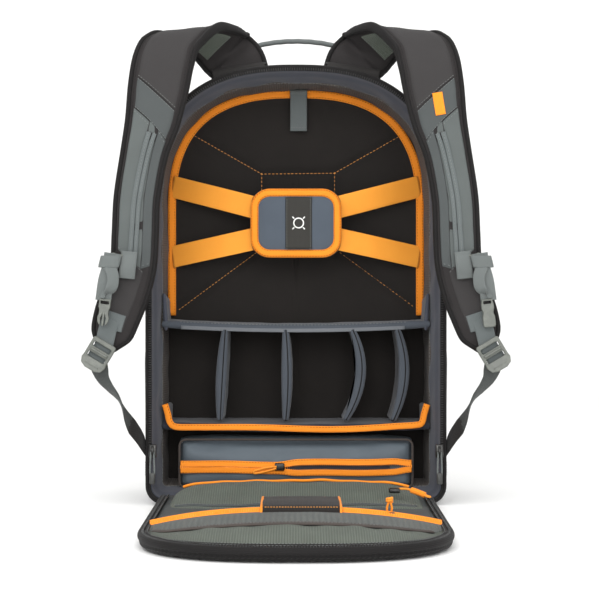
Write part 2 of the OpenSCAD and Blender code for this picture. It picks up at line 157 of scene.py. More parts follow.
@dataclass(frozen=True)
class Cloth:
    """A textile finish.

    The UV map of a piece is in metres along its own surface, so spacing_mm is a real thread or
    rib spacing. Where threads are finer than a render can show, the spacing is drawn coarser.
    """

    name: str
    colour: str
    shade: str
    weave: Weave = Weave.PLAIN
    spacing_mm: float = 1.6
    roughness: float = 0.82
    sheen: float = 0.06
    bump: float = 0.35
    blotch_mm: float = 38.0
    on_object: bool = False

    def pattern(self, tree: bpy.types.NodeTree, coord) -> tuple:
        """Add the nodes of the weave.

        Args:
            tree: the material's node tree.
            coord: the socket that gives the coordinates in metres.

        Returns:
            The socket of the height pattern and the share of it that darkens the colour.
        """
        fine = band_scale(self.spacing_mm)
        across = add(tree, "TexWave", {"Vector": coord, "Scale": fine, "Distortion": 0.35,
                     "Detail": 1.0, "Detail Scale": 2.0}, bands_direction="X")
        along = add(tree, "TexWave", {"Vector": coord, "Scale": fine, "Distortion": 0.35,
                    "Detail": 1.0, "Detail Scale": 2.0}, bands_direction="Y")
        if self.weave is Weave.PLAIN:
            mixed = calc(tree, "MULTIPLY", across.outputs["Fac"], along.outputs["Fac"])
            return mixed.outputs[0], 0.35
        if self.weave is Weave.WEBBING:
            zig = add(tree, "TexWave", {"Vector": coord, "Scale": fine * 0.7, "Distortion": 2.2,
                      "Detail": 0.0, "Detail Scale": 3.0}, bands_direction="DIAGONAL")
            mixed = calc(tree, "MULTIPLY", along.outputs["Fac"], zig.outputs["Fac"])
            return mixed.outputs[0], 0.5
        if self.weave is Weave.ELASTIC:
            return along.outputs["Fac"], 0.4
        if self.weave is Weave.NAP:
            pile = add(tree, "TexNoise", {"Vector": coord, "Scale": noise_scale(self.spacing_mm),
                       "Detail": 3.0, "Roughness": 0.7})
            return pile.outputs["Fac"], 0.5
        # A knitted mesh: staggered round holes, drawn as cells, in rows that zigzag.
        bend = add(tree, "TexWave", {"Vector": coord, "Scale": fine * 0.5}, bands_direction="X",
                   wave_profile="TRI")
        push = calc(tree, "MULTIPLY", bend.outputs["Fac"], self.spacing_mm * MM * 0.9)
        shift = add(tree, "CombineXYZ", {"Y": push.outputs[0]})
        moved = add(tree, "VectorMath", {0: coord, 1: shift.outputs[0]}, operation="ADD")
        rows = add(tree, "TexWave", {"Vector": moved.outputs[0], "Scale": fine},
                   bands_direction="Y")
        if self.weave is Weave.RIBBED:
            ribs = add(tree, "TexWave", {"Vector": coord, "Scale": fine * 0.42,
                       "Distortion": 0.8}, bands_direction="X")
            mixed = calc(tree, "MULTIPLY_ADD", rows.outputs["Fac"], ribs.outputs["Fac"], 0.15)
            return mixed.outputs[0], 0.7
        holes = calc(tree, "MULTIPLY_ADD", rows.outputs["Fac"], across.outputs["Fac"], 0.1)
        return holes.outputs[0], 0.75

    def material(self) -> Material:
        """Make the material, or give the one that was made before."""
        made = bpy.data.materials.get(self.name)
        if made:
            return made
        mat = blank_material(self.name)
        tree = mat.node_tree
        where = add(tree, "TexCoord")
        coord = where.outputs["Object" if self.on_object else "UV"]
        height, share = self.pattern(tree, coord)
        mottle = add(tree, "TexNoise", {"Vector": where.outputs["Object"], "Detail": 4.0,
                   "Scale": noise_scale(self.blotch_mm), "Roughness": 0.6})
        tone = calc(tree, "MULTIPLY_ADD", height, share, 1.0 - share)
        wear = add(tree, "MapRange", {"Value": mottle.outputs["Fac"], "From Min": 0.3,
                   "From Max": 0.7, "To Min": 0.78, "To Max": 1.08})
        both = calc(tree, "MULTIPLY", tone.outputs[0], wear.outputs[0])
        colour = add(tree, "Mix", {"Factor": both.outputs[0], 6: linear(self.shade),
                     7: linear(self.colour)}, data_type="RGBA", clamp_factor=True)
        rough = add(tree, "MapRange", {"Value": mottle.outputs["Fac"],
                    "To Min": self.roughness - 0.07, "To Max": self.roughness + 0.07})
        crease = add(tree, "Bump", {"Height": mottle.outputs["Fac"], "Strength": 0.12,
                     "Distance": 4 * MM})
        bump = add(tree, "Bump", {"Height": height, "Strength": self.bump,
                   "Distance": self.spacing_mm * 0.3 * MM, "Normal": crease.outputs[0]})
        principled(tree, {"Base Color": colour.outputs[2], "Roughness": rough.outputs[0],
                          "Normal": bump.outputs[0], "IOR": 1.45, "Sheen Weight": 0.3 * self.sheen,
                          "Sheen Roughness": 0.45, "Specular IOR Level": 0.25})
        return mat


@dataclass(frozen=True)
class Moulded:
    """A moulded or painted hard finish, with a fine eroded grain and scattered rougher spots of a second
    colour, on most finishes a paler painted highlight.
    """

    name: str
    colour: str
    # Second colour of the scattered spots; where it is paler than colour, it is a painted highlight.
    mottle: str
    roughness: float = 0.42
    metallic: float = 0.0
    grain_mm: float = 0.9
    bump: float = 0.12

    def material(self) -> Material:
        """Make the material, or give the one that was made before."""
        made = bpy.data.materials.get(self.name)
        if made:
            return made
        mat = blank_material(self.name)
        tree = mat.node_tree
        where = add(tree, "TexCoord").outputs["Object"]
        grain = add(tree, "TexNoise", {"Vector": where, "Scale": noise_scale(self.grain_mm),
                    "Detail": 2.0})
        # Random spots that mix in the second colour, a painted highlight where it is paler, and raise the
        # roughness.
        spots = add(tree, "TexNoise", {"Vector": where, "Scale": noise_scale(9.0), "Detail": 5.0,
                  "Roughness": 0.65})
        share = add(tree, "MapRange", {"Value": spots.outputs["Fac"], "From Min": 0.45,
                    "From Max": 0.75})
        colour = add(tree, "Mix", {"Factor": share.outputs[0], 6: linear(self.colour),
                     7: linear(self.mottle)}, data_type="RGBA")
        rough = add(tree, "MapRange", {"Value": spots.outputs["Fac"],
                    "To Min": self.roughness - 0.08, "To Max": self.roughness + 0.1})
        bump = add(tree, "Bump", {"Height": grain.outputs["Fac"], "Strength": self.bump,
                   "Distance": 0.1 * MM})
        settings = {"Base Color": colour.outputs[2], "Roughness": rough.outputs[0],
                    "Normal": bump.outputs[0], "Metallic": self.metallic}
        if not self.metallic:
            settings["IOR"] = 1.48
        principled(tree, settings)
        return mat


# Coated ballistic nylon: a coarse even weave with a slight dull shine.
SHELL = Cloth("ballistic nylon black", "#232221", "#131212", spacing_mm=1.5, roughness=0.66, bump=0.5)
# The same nylon on the shoulder straps, from charcoal to pale grey.
STRAP_TOP = Cloth("nylon charcoal", "#393737", "#242222", spacing_mm=1.3, roughness=0.74, bump=0.3)
STRAP_DARK = Cloth("nylon dark charcoal", "#2d2a2a", "#1b1919", spacing_mm=1.3, roughness=0.78)
STRAP_GREY = Cloth("nylon slate grey", "#5c6160", "#444847", spacing_mm=1.3, roughness=0.76, bump=0.3)
STRAP_LEAF = Cloth("nylon pale grey", "#4d5151", "#3a3d3d", spacing_mm=1.2, roughness=0.76, bump=0.3)
# Grosgrain binding: fine cross ribs.
BINDING = Cloth("grosgrain binding", "#1a1818", "#0d0c0c", Weave.ELASTIC, 1.4, 0.76, 0.1, 0.5)
# Brushed tricot over foam: a short even nap without threads.
LINING = Cloth("brushed tricot slate", "#4a4d57", "#31343c", Weave.NAP, 1.1, 0.92, 0.5, 0.3)
GUSSET = Cloth("air mesh brown black", "#6a615b", "#37312d", Weave.MESH, 2.6, 0.9, 0.2, 0.5)
SHELF_CLOTH = Cloth("brushed tricot grey", "#4c5158", "#33373d", Weave.NAP, 1.1, 0.92, 0.5, 0.3)
CELL_CLOTH = Cloth("brushed tricot dark", "#30323a", "#1b1c21", Weave.NAP, 1.1, 0.92, 0.5, 0.3)
# Loop velour on the back pad: nearly black, with a soft brown bloom.
VELOUR = Cloth("loop velour black", "#292624", "#151312", Weave.NAP, 1.3, 0.95, 0.35, 0.4)
ORANGE_TAPE = Cloth("grosgrain orange", "#f89328", "#cf7010", Weave.ELASTIC, 1.5, 0.7, 0.3, 0.4)
ORANGE_BAND = Cloth("woven elastic orange", "#ffaa40", "#f0922c", Weave.ELASTIC, 1.2, 0.68, 0.3, 0.3)
ORANGE_CORD = Cloth("braided cord orange", "#f79c33", "#c7700f", Weave.PLAIN, 1.2, 0.6, 0.3, 0.6)
POUCH_CLOTH = Cloth("ripstop nylon blue grey", "#636c73", "#454d54", spacing_mm=2.4, roughness=0.6)
PAD_CLOTH = Cloth("twill blue grey", "#525a64", "#3b424b", spacing_mm=1.4, roughness=0.72)
PAD_BAND = Cloth("twill dark band", "#3c3b38", "#242320", spacing_mm=1.4, roughness=0.8)
WEB_GREY = Cloth("nylon webbing grey", "#6f7473", "#4b4f4e", Weave.WEBBING, 1.0, 0.7, 0.3, 0.6)
# The black webbing drawn paler: painted light on the lit upper part of the lower webbing.
WEB_BLACK_LIT = Cloth("nylon webbing black painted lit", "#4a4d4c", "#303332", Weave.WEBBING, 1.0, 0.7, 0.3, 0.6)
WEB_BLACK = Cloth("nylon webbing black", "#2e2c2b", "#171615", Weave.WEBBING, 1.0, 0.7, 0.3, 0.6)
RAIL_GREY = Cloth("nylon rail webbing", "#666c6c", "#484d4d", Weave.WEBBING, 1.0, 0.7, 0.3, 0.5)
MESH_GREY = Cloth("knitted mesh grey", "#6e756b", "#3a3f38", Weave.MESH, 2.5, 0.85, 0.2, 0.8)
MESH_RIB = Cloth("ribbed mesh grey", "#6a6e6b", "#393c3a", Weave.RIBBED, 2.4, 0.85, 0.2, 0.8)
MESH_BLACK = Cloth("air mesh black", "#1c1a1a", "#0a0909", Weave.MESH, 3.0, 0.88, 0.2, 0.8)
LINER = Cloth("liner taffeta grey", "#4f5353", "#363a3a", spacing_mm=1.2, roughness=0.62)
ELASTIC_BLACK = Cloth("ribbed elastic black", "#211d1b", "#0c0a09", Weave.ELASTIC, 1.4, 0.78, 0.3, 0.6)
SEAM_BROWN = Cloth("seam tape brown", "#4c4541", "#2c2725", Weave.ELASTIC, 1.3, 0.8, 0.2, 0.4)
HOOK_TAPE = Cloth("hook tape pale grey", "#6c6f73", "#4b4e52", Weave.NAP, 1.0, 0.9, 0.2, 0.6)
# Polyester thread, one colour each, drawn thicker than the real 0.5 mm so that it shows.
THREAD_ORANGE = Cloth("thread orange", "#e8a155", "#bd7a33", on_object=True, spacing_mm=0.8)
THREAD_DARK = Cloth("thread brown", "#8a4d12", "#5d320a", on_object=True, spacing_mm=0.8)
THREAD_GREY = Cloth("thread grey", "#7f8280", "#595c5a", on_object=True, spacing_mm=0.8)
THREAD_BLACK = Cloth("thread black", "#1a1817", "#0c0b0b", on_object=True, spacing_mm=0.8)
# Nylon coil of a zip, and the acetal of buckles and ladder locks.
# The second colour of these finishes is paler: painted highlight, laid in scattered spots.
COIL = Moulded("nylon coil black", "#1b1b1b", "#3a3a3a", roughness=0.38)
COIL_ORANGE = Moulded("nylon coil orange", "#e8861c", "#f7a548", roughness=0.42)
ACETAL = Moulded("acetal grey", "#575a54", "#6b6e67", roughness=0.4)
ACETAL_DARK = Moulded("acetal dark grey", "#2e2f2d", "#464745", roughness=0.45)
ZINC = Moulded("painted zinc black", "#2c2c2b", "#565553", roughness=0.34, metallic=0.7)
SHELL_PATCH = Cloth("ballistic nylon patch", "#343231", "#1b1a19", spacing_mm=1.4, on_object=True)
PRINT = Moulded("screen print white", "#e9e9e6", "#d3d3cf", roughness=0.6)


# ---------------------------------------------------------------- surfaces
def unit(v: Array) -> Array:
    """Vectors of length one, along the last axis."""
    return v / np.maximum(np.linalg.norm(v, axis=-1, keepdims=True), 1e-9)


def spline(points: Sequence, count: int, closed: bool = False) -> Array:
    """Carry a Catmull-Rom curve through points and space its samples evenly.

    Each stretch is the usual cubic of its two ends and their neighbours. It is sampled finely, and
    the samples are then read off at even steps of length.

    Args:
        points: rows of coordinates.
        count: how many samples to give.
        closed: whether the curve returns to its first point.

    Returns:
        An array of count rows. A closed curve doesn't repeat its first row.
    """
    p = np.asarray(points, float)
    if closed:
        q = np.vstack([p[-1:], p, p[:2]])
    else:
        q = np.vstack([2 * p[:1] - p[1:2], p, 2 * p[-1:] - p[-2:-1]])
    t = np.linspace(0, 1, 24, endpoint=False)[:, None, None]
    a, b, c, d = q[:-3], q[1:-2], q[2:-1], q[3:]
    curve = 0.5 * (2 * b + t * (c - a) + t**2 * (2 * a - 5 * b + 4 * c - d) + t**3 * (3 * b - a - 3 * c + d))
    dense = np.vstack([curve.transpose(1, 0, 2).reshape(-1, p.shape[1]), q[-2:-1]])
    return resample(dense, count, closed)


def resample(path: Array, count: int, closed: bool = False) -> Array:
    """Read a polyline off at even steps of its length.

    Args:
        path: rows of coordinates. A closed path ends where it began.
        count: how many samples to give.
        closed: leave the last sample out, as it is the first.

    Returns:
        An array of count rows.
    """
    steps = np.linalg.norm(np.diff(path[:, :3], axis=0), axis=1)
    run = np.concatenate([[0], np.cumsum(steps)])
    at = np.linspace(0, run[-1], count + 1 if closed else count)
    out = np.stack([np.interp(at, run, path[:, k]) for k in range(path.shape[1])], axis=1)
    return out[:-1] if closed else out


def run_length(path: Array) -> float:
    """Length of a polyline."""
    return float(np.linalg.norm(np.diff(path, axis=0), axis=1).sum())


def along(path: Array, closed: bool = False) -> Array:
    """Unit tangents of a path, from the samples on both sides."""
    if closed:
        return unit(np.roll(path, -1, axis=0) - np.roll(path, 1, axis=0))
    return unit(np.gradient(path, axis=0))


def ripple(a: Array, b: Array, seed: int, size: float, waves: int = 5) -> Array:
    """Soft folds of cloth: a sum of sine waves in scattered directions.

    Args:
        a: first coordinate, in millimetres.
        b: second coordinate, in millimetres.
        seed: sets directions and phases.
        size: mean distance between folds, in millimetres.
        waves: how many waves are summed.

    Returns:
        Heights of about -1 to 1, in the shape of a and b.
    """
    draw = np.random.default_rng(seed)
    out = np.zeros(np.broadcast(a, b).shape)
    for turn, phase, stretch in zip(draw.uniform(0, TAU, waves), draw.uniform(0, TAU, waves),
                                    draw.uniform(0.6, 1.7, waves)):
        out += np.sin((a * math.cos(turn) + b * math.sin(turn)) * TAU / (size * stretch) + phase)
    return out / waves**0.5 / 1.4


def ease(x: Array) -> Array:
    """A smooth step from 0 to 1 for x from 0 to 1."""
    x = np.clip(x, 0, 1)
    return x * x * (3 - 2 * x)


def xyz(x: Array | float, y: Array | float, z: Array | float) -> Array:
    """Points from their three coordinates, which spread to one shape."""
    return np.stack(np.broadcast_arrays(x, y, z), -1)


def linked(name: str, mesh: bpy.types.Mesh) -> Piece:
    """A new object of a mesh, linked to the scene."""
    piece = bpy.data.objects.new(name, mesh)
    bpy.context.scene.collection.objects.link(piece)
    return piece


def mesh_piece(name: str, verts: Array, faces: Sequence, uvs: Array | None = None) -> Piece:
    """Put points in millimetres into a smooth mesh object in metres.

    Args:
        name: the object's name.
        verts: rows of x, y, z in millimetres.
        faces: rows of point numbers, or a list of such rows.
        uvs: one row of u, v in metres for each corner of each face, in order.

    Returns:
        The new object, linked to the scene.
    """
    mesh = bpy.data.meshes.new(name)
    mesh.from_pydata((np.asarray(verts) * MM).tolist(), [], [list(map(int, f)) for f in faces])
    if uvs is not None:
        layer = mesh.uv_layers.new(name="surface")
        layer.data.foreach_set("uv", np.asarray(uvs, np.float32).ravel())
    mesh.polygons.foreach_set("use_smooth", np.ones(len(mesh.polygons), bool))
    mesh.update()
    return linked(name, mesh)


def outward(piece: Piece) -> Piece:
    """Turn the faces of a closed mesh outwards and give the piece back."""
    work = bmesh.new()
    work.from_mesh(piece.data)
    bmesh.ops.recalc_face_normals(work, faces=work.faces)
    work.to_mesh(piece.data)
    work.free()
    return piece


def grid_faces(nu: int, nv: int, wrap_u: bool, wrap_v: bool) -> tuple[Array, Array, Array]:
    """Quads of a grid of nu by nv points.

    Args:
        nu: points along the first direction.
        nv: points along the second direction.
        wrap_u: whether the last row joins the first.
        wrap_v: whether the last column joins the first.

    Returns:
        The faces, and the u and v grid steps of each of their corners.
    """
    i, j = np.meshgrid(np.arange(nu if wrap_u else nu - 1), np.arange(nv if wrap_v else nv - 1),
                       indexing="ij")
    iu = np.stack([i, i + 1, i + 1, i], -1).reshape(-1, 4)
    jv = np.stack([j, j, j + 1, j + 1], -1).reshape(-1, 4)
    return (iu % nu) * nv + (jv % nv), iu, jv


def grid_piece(name: str, pts: Array, wrap_u: bool = False, wrap_v: bool = False,
               caps: bool = False) -> Piece:
    """Make a surface from a grid of points, with a UV map in metres along it.

    Args:
        name: the object's name.
        pts: points, shaped (nu, nv, 3), in millimetres.
        wrap_u: whether the surface closes along its first direction.
        wrap_v: whether the surface closes along its second direction.
        caps: close the two ends of the first direction with a fan, where the second wraps.

    Returns:
        The new object, its faces outwards where it is closed.
    """
    nu, nv = pts.shape[:2]
    faces, iu, jv = grid_faces(nu, nv, wrap_u, wrap_v)
    loop_u = np.concatenate([pts, pts[:1]]) if wrap_u else pts
    loop_v = np.concatenate([pts, pts[:, :1]], axis=1) if wrap_v else pts
    run_u = np.concatenate([[0], np.cumsum(np.linalg.norm(np.diff(loop_u, axis=0), axis=2).mean(1))])
    run_v = np.concatenate([[0], np.cumsum(np.linalg.norm(np.diff(loop_v, axis=1), axis=2).mean(0))])
    uvs = np.stack([run_u[iu], run_v[jv]], -1).reshape(-1, 2) * MM
    verts = pts.reshape(-1, 3)
    every = faces.tolist()
    if caps:
        for row, flip in ((0, False), (nu - 1, True)):
            centre = len(verts)
            verts = np.vstack([verts, pts[row].mean(0)])
            ring = row * nv + np.arange(nv)
            fan = xyz(ring, centre, np.roll(ring, -1))
            every += (fan[:, ::-1] if flip else fan).tolist()
            uvs = np.vstack([uvs, np.tile([[0.0, 0.0]], (3 * nv, 1))])
    piece = mesh_piece(name, verts, every, uvs)
    closed = (wrap_u or caps) and wrap_v
    return outward(piece) if closed else piece


def loop_section(half_w: float, half_t: float, count: int = 16, power: float = 2.6) -> Array:
    """A closed superellipse section: columns are across and thickness.

    x = w cos(a)^(2/p) and y = t sin(a)^(2/p), signed, for a round the circle.
    """
    a = np.linspace(0, TAU, count, endpoint=False)
    c, s = np.cos(a), np.sin(a)
    return np.stack([half_w * np.sign(c) * np.abs(c) ** (2 / power),
                     half_t * np.sign(s) * np.abs(s) ** (2 / power)], -1)


def sweep(name: str, path: Array, side: Array, width: Array | float, thick: Array | float,
          closed: bool = False, count: int = 16, power: float = 2.6,
          dent: Callable[[Array, Array], Array] | None = None) -> Piece:
    """Carry a superellipse section along a path.

    Args:
        name: the object's name.
        path: centre line, in millimetres.
        side: direction of the section's width, one row or a row for each sample.
        width: full width, one value or a value for each sample.
        thick: full thickness, one value or a value for each sample.
        closed: whether the path is a ring.
        count: points round the section.
        power: squareness of the section, 2 for an ellipse.
        dent: gives a height in millimetres along the normal for (run, across), both in millimetres.

    Returns:
        The new closed piece.
    """
    n = len(path)
    t = along(path, closed)
    s = np.broadcast_to(np.asarray(side, float), path.shape)
    s = unit(s - t * (s * t).sum(1, keepdims=True))
    up = np.cross(t, s)
    section = loop_section(0.5, 0.5, count, power)
    w = np.broadcast_to(width, (n,))[:, None]
    h = np.broadcast_to(thick, (n,))[:, None]
    across, height = section[None, :, 0] * w, section[None, :, 1] * h
    if dent is not None:
        run = np.concatenate([[0], np.cumsum(np.linalg.norm(np.diff(path, axis=0), axis=1))])
        height = height + dent(run[:, None] + 0 * across, across)
    pts = path[:, None] + s[:, None] * across[..., None] + up[:, None] * height[..., None]
    return grid_piece(name, pts, wrap_u=closed, wrap_v=True, caps=not closed)


def rope(name: str, path: Array, diameter: Array | float, closed: bool = False, count: int = 10) -> Piece:
    """A round tube along a path."""
    t = along(path, closed)
    spread = np.ptp(path, axis=0)
    ref = np.eye(3)[int(np.argmin(spread))] + 1e-3 * np.array([0.3, 0.7, 0.2])
    return sweep(name, path, np.cross(t, ref), diameter, diameter, closed, count, 2.0)


def scatter(name: str, shape: Array, faces: Array, at: Array, x: Array, y: Array, z: Array) -> Piece:
    """Put one small shape at many places, in one mesh.

    Args:
        name: the object's name.
        shape: points of the small shape, in millimetres.
        faces: its faces.
        at: the places.
        x: the shape's x axis at each place.
        y: its y axis at each place.
        z: its z axis at each place.

    Returns:
        The new piece.
    """
    turn = np.stack([x, y, z], axis=1)
    pts = at[:, None] + np.einsum("pk,nkc->npc", shape, turn)
    every = faces[None] + (np.arange(len(at)) * len(shape))[:, None, None]
    return mesh_piece(name, pts.reshape(-1, 3), every.reshape(-1, faces.shape[1]))


def bead_shape(length: float, thick: float, rings: int = 5, sides: int = 6) -> tuple[Array, Array]:
    """A small closed bead, long along x, its radius the sine of its way along."""
    a = np.linspace(0.08, math.pi - 0.08, rings)
    b = np.linspace(0, TAU, sides, endpoint=False)
    x = -np.cos(a)[:, None] * length / 2 + 0 * b
    r = np.sin(a)[:, None] ** 0.6 * thick / 2
    pts = xyz(x, r * np.cos(b), r * np.sin(b)).reshape(-1, 3)
    faces = grid_faces(rings, sides, False, True)[0]
    ends = np.array([[0, 1, 2, 3], [0, 3, 4, 5]])
    last = (rings - 1) * sides
    return pts, np.vstack([faces[:, ::-1], ends, last + ends[:, ::-1]])


def stitches(name: str, path: Array, normal: Array, gap: float = 3.6, length: float = 2.5,
             thick: float = 0.7, closed: bool = False, lift: float = 0.15) -> Piece:
    """A row of stitches: one low bead for each, sunk half into the cloth.

    Args:
        name: the object's name.
        path: the seam, in millimetres.
        normal: the cloth's outward direction, one row or a row for each sample.
        gap: distance from stitch to stitch.
        length: length of a stitch.
        thick: thickness of the thread.
        closed: whether the seam is a ring.
        lift: height of the bead's middle over the path.

    Returns:
        The new piece.
    """
    ring = np.vstack([path, path[:1]]) if closed else path
    wide = np.broadcast_to(np.asarray(normal, float), path.shape)
    wide = np.vstack([wide, wide[:1]]) if closed else wide
    both = np.hstack([ring, wide])
    count = max(2, int(run_length(ring) / gap))
    even = resample(both, count, closed)
    at, n = even[:, :3], unit(even[:, 3:])
    t = along(at, closed)
    n = unit(n - t * (n * t).sum(1, keepdims=True))
    shape, faces = bead_shape(length, thick)
    return scatter(name, shape, faces, at + n * lift, t, np.cross(n, t), n)


def zip_coil(name: str, path: Array, side: Array, pitch: float = 2.6, width: float = 5.2,
             height: float = 2.0, wire: float = 1.2) -> Piece:
    """A zip's coil: one bead for each tooth, lying across the path.

    Args:
        name: the object's name.
        path: the line that the teeth meet on, in millimetres.
        side: direction of the teeth, one row or a row for each sample.
        pitch: distance from tooth to tooth, drawn coarser than a real 1.5 mm so that it shows.
        width: length of a tooth.
        height: thickness of the coil.
        wire: thickness of a tooth along the path.

    Returns:
        The new piece.
    """
    wide = np.broadcast_to(np.asarray(side, float), path.shape)
    even = resample(np.hstack([path, wide]), max(2, int(run_length(path) / pitch)))
    at, s = even[:, :3], even[:, 3:]
    t = along(at)
    s = unit(s - t * (s * t).sum(1, keepdims=True))
    shape, faces = bead_shape(width, wire)
    shape = shape * np.array([1, 1, height / wire])
    return scatter(name, shape, faces, at, s, t, np.cross(s, t))


def rounded_block(name: str, lo: Sequence, hi: Sequence, radius: float, levels: int = 2) -> Piece:
    """A box with rounded edges, made by a bevel on its eight corners' mesh.

    Args:
        name: the object's name.
        lo: lowest corner, in millimetres.
        hi: highest corner, in millimetres.
        radius: radius of the edges.
        levels: segments of the rounding.

    Returns:
        The new piece, its bevel applied.
    """
    a, b = np.minimum(lo, hi), np.maximum(lo, hi)
    pick = np.array([[0, 0, 0], [1, 0, 0], [1, 1, 0], [0, 1, 0], [0, 0, 1], [1, 0, 1], [1, 1, 1], [0, 1, 1]])
    faces = [[0, 3, 2, 1], [4, 5, 6, 7], [0, 1, 5, 4], [1, 2, 6, 5], [2, 3, 7, 6], [3, 0, 4, 7]]
    piece = mesh_piece(name, a + pick * (b - a), faces)
    work = bmesh.new()
    work.from_mesh(piece.data)
    bmesh.ops.bevel(work, geom=work.edges[:] + work.verts[:], offset=radius * MM, segments=levels,
                    profile=0.5, affect="EDGES")
    work.to_mesh(piece.data)
    work.free()
    return piece


def plate(name: str, outline: Array, holes: Sequence[Array], lo: float, hi: float, radius: float,
          place: Callable[[Array], Array]) -> Piece:
    """A flat moulded plate with holes and bevelled edges.

    The outline and the holes are polygons in the plate's own x and y, filled and raised from lo to
    hi, and place then carries the points to where the plate sits.

    Args:
        name: the object's name.
        outline: rows of x, y in millimetres.
        holes: polygons to leave open.
        lo: height of one face.
        hi: height of the other face.
        radius: width of the bevel.
        place: turns plate points to points of the part.

    Returns:
        The new piece.
    """
    work = bmesh.new()
    edges = []
    for ring in (outline, *holes):
        verts = [work.verts.new((float(x), float(y), lo)) for x, y in ring]
        edges += [work.edges.new((verts[i], verts[(i + 1) % len(verts)])) for i in range(len(verts))]
    bmesh.ops.triangle_fill(work, use_beauty=True, use_dissolve=True, edges=edges)
    base = list(work.faces)
    raised = bmesh.ops.extrude_face_region(work, geom=base)["geom"]
    for v in raised:
        if isinstance(v, bmesh.types.BMVert):
            v.co.z = hi
    bmesh.ops.recalc_face_normals(work, faces=work.faces)
    rims = [e for e in work.edges if len(e.link_faces) == 2 and e.calc_face_angle(0) > 0.7]
    bmesh.ops.bevel(work, geom=rims, offset=radius, segments=2, profile=0.6, affect="EDGES")
    bmesh.ops.triangulate(work, faces=work.faces)
    mesh = bpy.data.meshes.new(name)
    work.to_mesh(mesh)
    work.free()
    mesh.polygons.foreach_set("use_smooth", np.zeros(len(mesh.polygons), bool))
    piece = linked(name, mesh)
    place_points(piece, place(points_of(piece) * MM))
    return outward(piece)


def oval(w: float, h: float, r: float, steps: int = 6) -> Array:
    """A rectangle w by h with corners of radius r, about its middle, as rows of x, y."""
    a = np.linspace(0, math.pi / 2, steps + 1)
    corner = np.stack([np.cos(a), np.sin(a)], -1) * r
    out = []
    for q, (sx, sy) in enumerate(((1, 1), (-1, 1), (-1, -1), (1, -1))):
        c, s = math.cos(q * math.pi / 2), math.sin(q * math.pi / 2)
        turn = np.array([[c, s], [-s, c]])
        out.append(corner @ turn + np.array([sx * (w / 2 - r), sy * (h / 2 - r)]))
    return np.vstack(out)


def even_oval(w: float, h: float, r: float, steps: int, count: int) -> Array:
    """An oval read off at count even steps."""
    ring = oval(w, h, r, steps)
    return resample(np.vstack([ring, ring[:1]]), count, closed=True)


def dress(piece: Piece, finish: Cloth | Moulded, body: str,
          replaces: Sequence[str] = ()) -> Piece:
    """Give a piece its finish, its body and the CAD nodes that it stands for.

    Args:
        piece: the new piece.
        finish: the cloth or moulded finish.
        body: the CAD body that carries it.
        replaces: CAD nodes that it replaces.

    Returns:
        The same piece.
    """
    piece.data.materials.append(finish.material())
    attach(piece, body)
    if replaces:
        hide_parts(*replaces)
    return piece


def inflate(piece: Piece, cap_mm: float, pressure: float = 4.0, voxel_mm: float = 5.0,
            frames: int = 18, pinned: Callable[[Array], Array] | None = None) -> Piece:
    """Swell a closed soft piece by a cloth simulation under pressure, without gravity.

    The mesh is remeshed in even voxels, stepped as cloth under inner pressure, and no point may
    move further than the cap. The result is kept as plain mesh, once subdivided.

    Args:
        piece: the closed piece.
        cap_mm: the furthest that a point may move.
        pressure: the pressure inside.
        voxel_mm: size of the voxels.
        frames: steps of the simulation.
        pinned: for points in millimetres, gives how firmly each is held, 0 to 1.

    Returns:
        The same piece with its new mesh.
    """
    remesh = piece.modifiers.new("even", "REMESH")
    remesh.mode, remesh.voxel_size = "VOXEL", voxel_mm * MM
    remesh.use_smooth_shade = True
    settle(piece)
    rest = points_of(piece)
    if pinned is not None:
        group = piece.vertex_groups.new(name="held")
        for k, hold in enumerate(pinned(rest)):
            if hold > 0.02:
                group.add([k], float(hold), "REPLACE")
    cloth = piece.modifiers.new("cloth", "CLOTH")
    cloth.settings.use_pressure = True
    cloth.settings.uniform_pressure_force = pressure
    cloth.settings.effector_weights.gravity = 0
    cloth.settings.quality = 4
    cloth.collision_settings.use_self_collision = False
    if pinned is not None:
        cloth.settings.vertex_group_mass = "held"
    cloth.point_cache.frame_end = frames
    for step in range(1, frames + 1):
        bpy.context.scene.frame_set(step)
    settle(piece)
    bpy.context.scene.frame_set(1)
    moved = points_of(piece) - rest
    far = np.linalg.norm(moved, axis=1, keepdims=True)
    place_points(piece, rest + moved * np.minimum(1, cap_mm / np.maximum(far, 1e-6)))
    sub = piece.modifiers.new("smooth", "SUBSURF")
    sub.levels = sub.render_levels = 1
    settle(piece)
    piece.data.polygons.foreach_set("use_smooth", np.ones(len(piece.data.polygons), bool))
    return piece


def settle(piece: Piece) -> None:
    """Keep what the modifiers make as the piece's own mesh, and drop them."""
    graph = bpy.context.evaluated_depsgraph_get()
    final = bpy.data.meshes.new_from_object(piece.evaluated_get(graph))
    piece.modifiers.clear()
    piece.data = final


def points_of(piece: Piece) -> Array:
    """The piece's points, in millimetres."""
    co = np.empty(len(piece.data.vertices) * 3)
    piece.data.vertices.foreach_get("co", co)
    return co.reshape(-1, 3) / MM


def place_points(piece: Piece, pts: Array) -> None:
    """Move the piece's points to the given places, in millimetres."""
    piece.data.vertices.foreach_set("co", (pts * MM).ravel())
    piece.data.update()


def node_box(node: str) -> tuple[Array, Array]:
    """Lowest and highest corners of a CAD node at rest, in millimetres."""
    lo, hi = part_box(node)
    return np.array(lo) / MM, np.array(hi) / MM


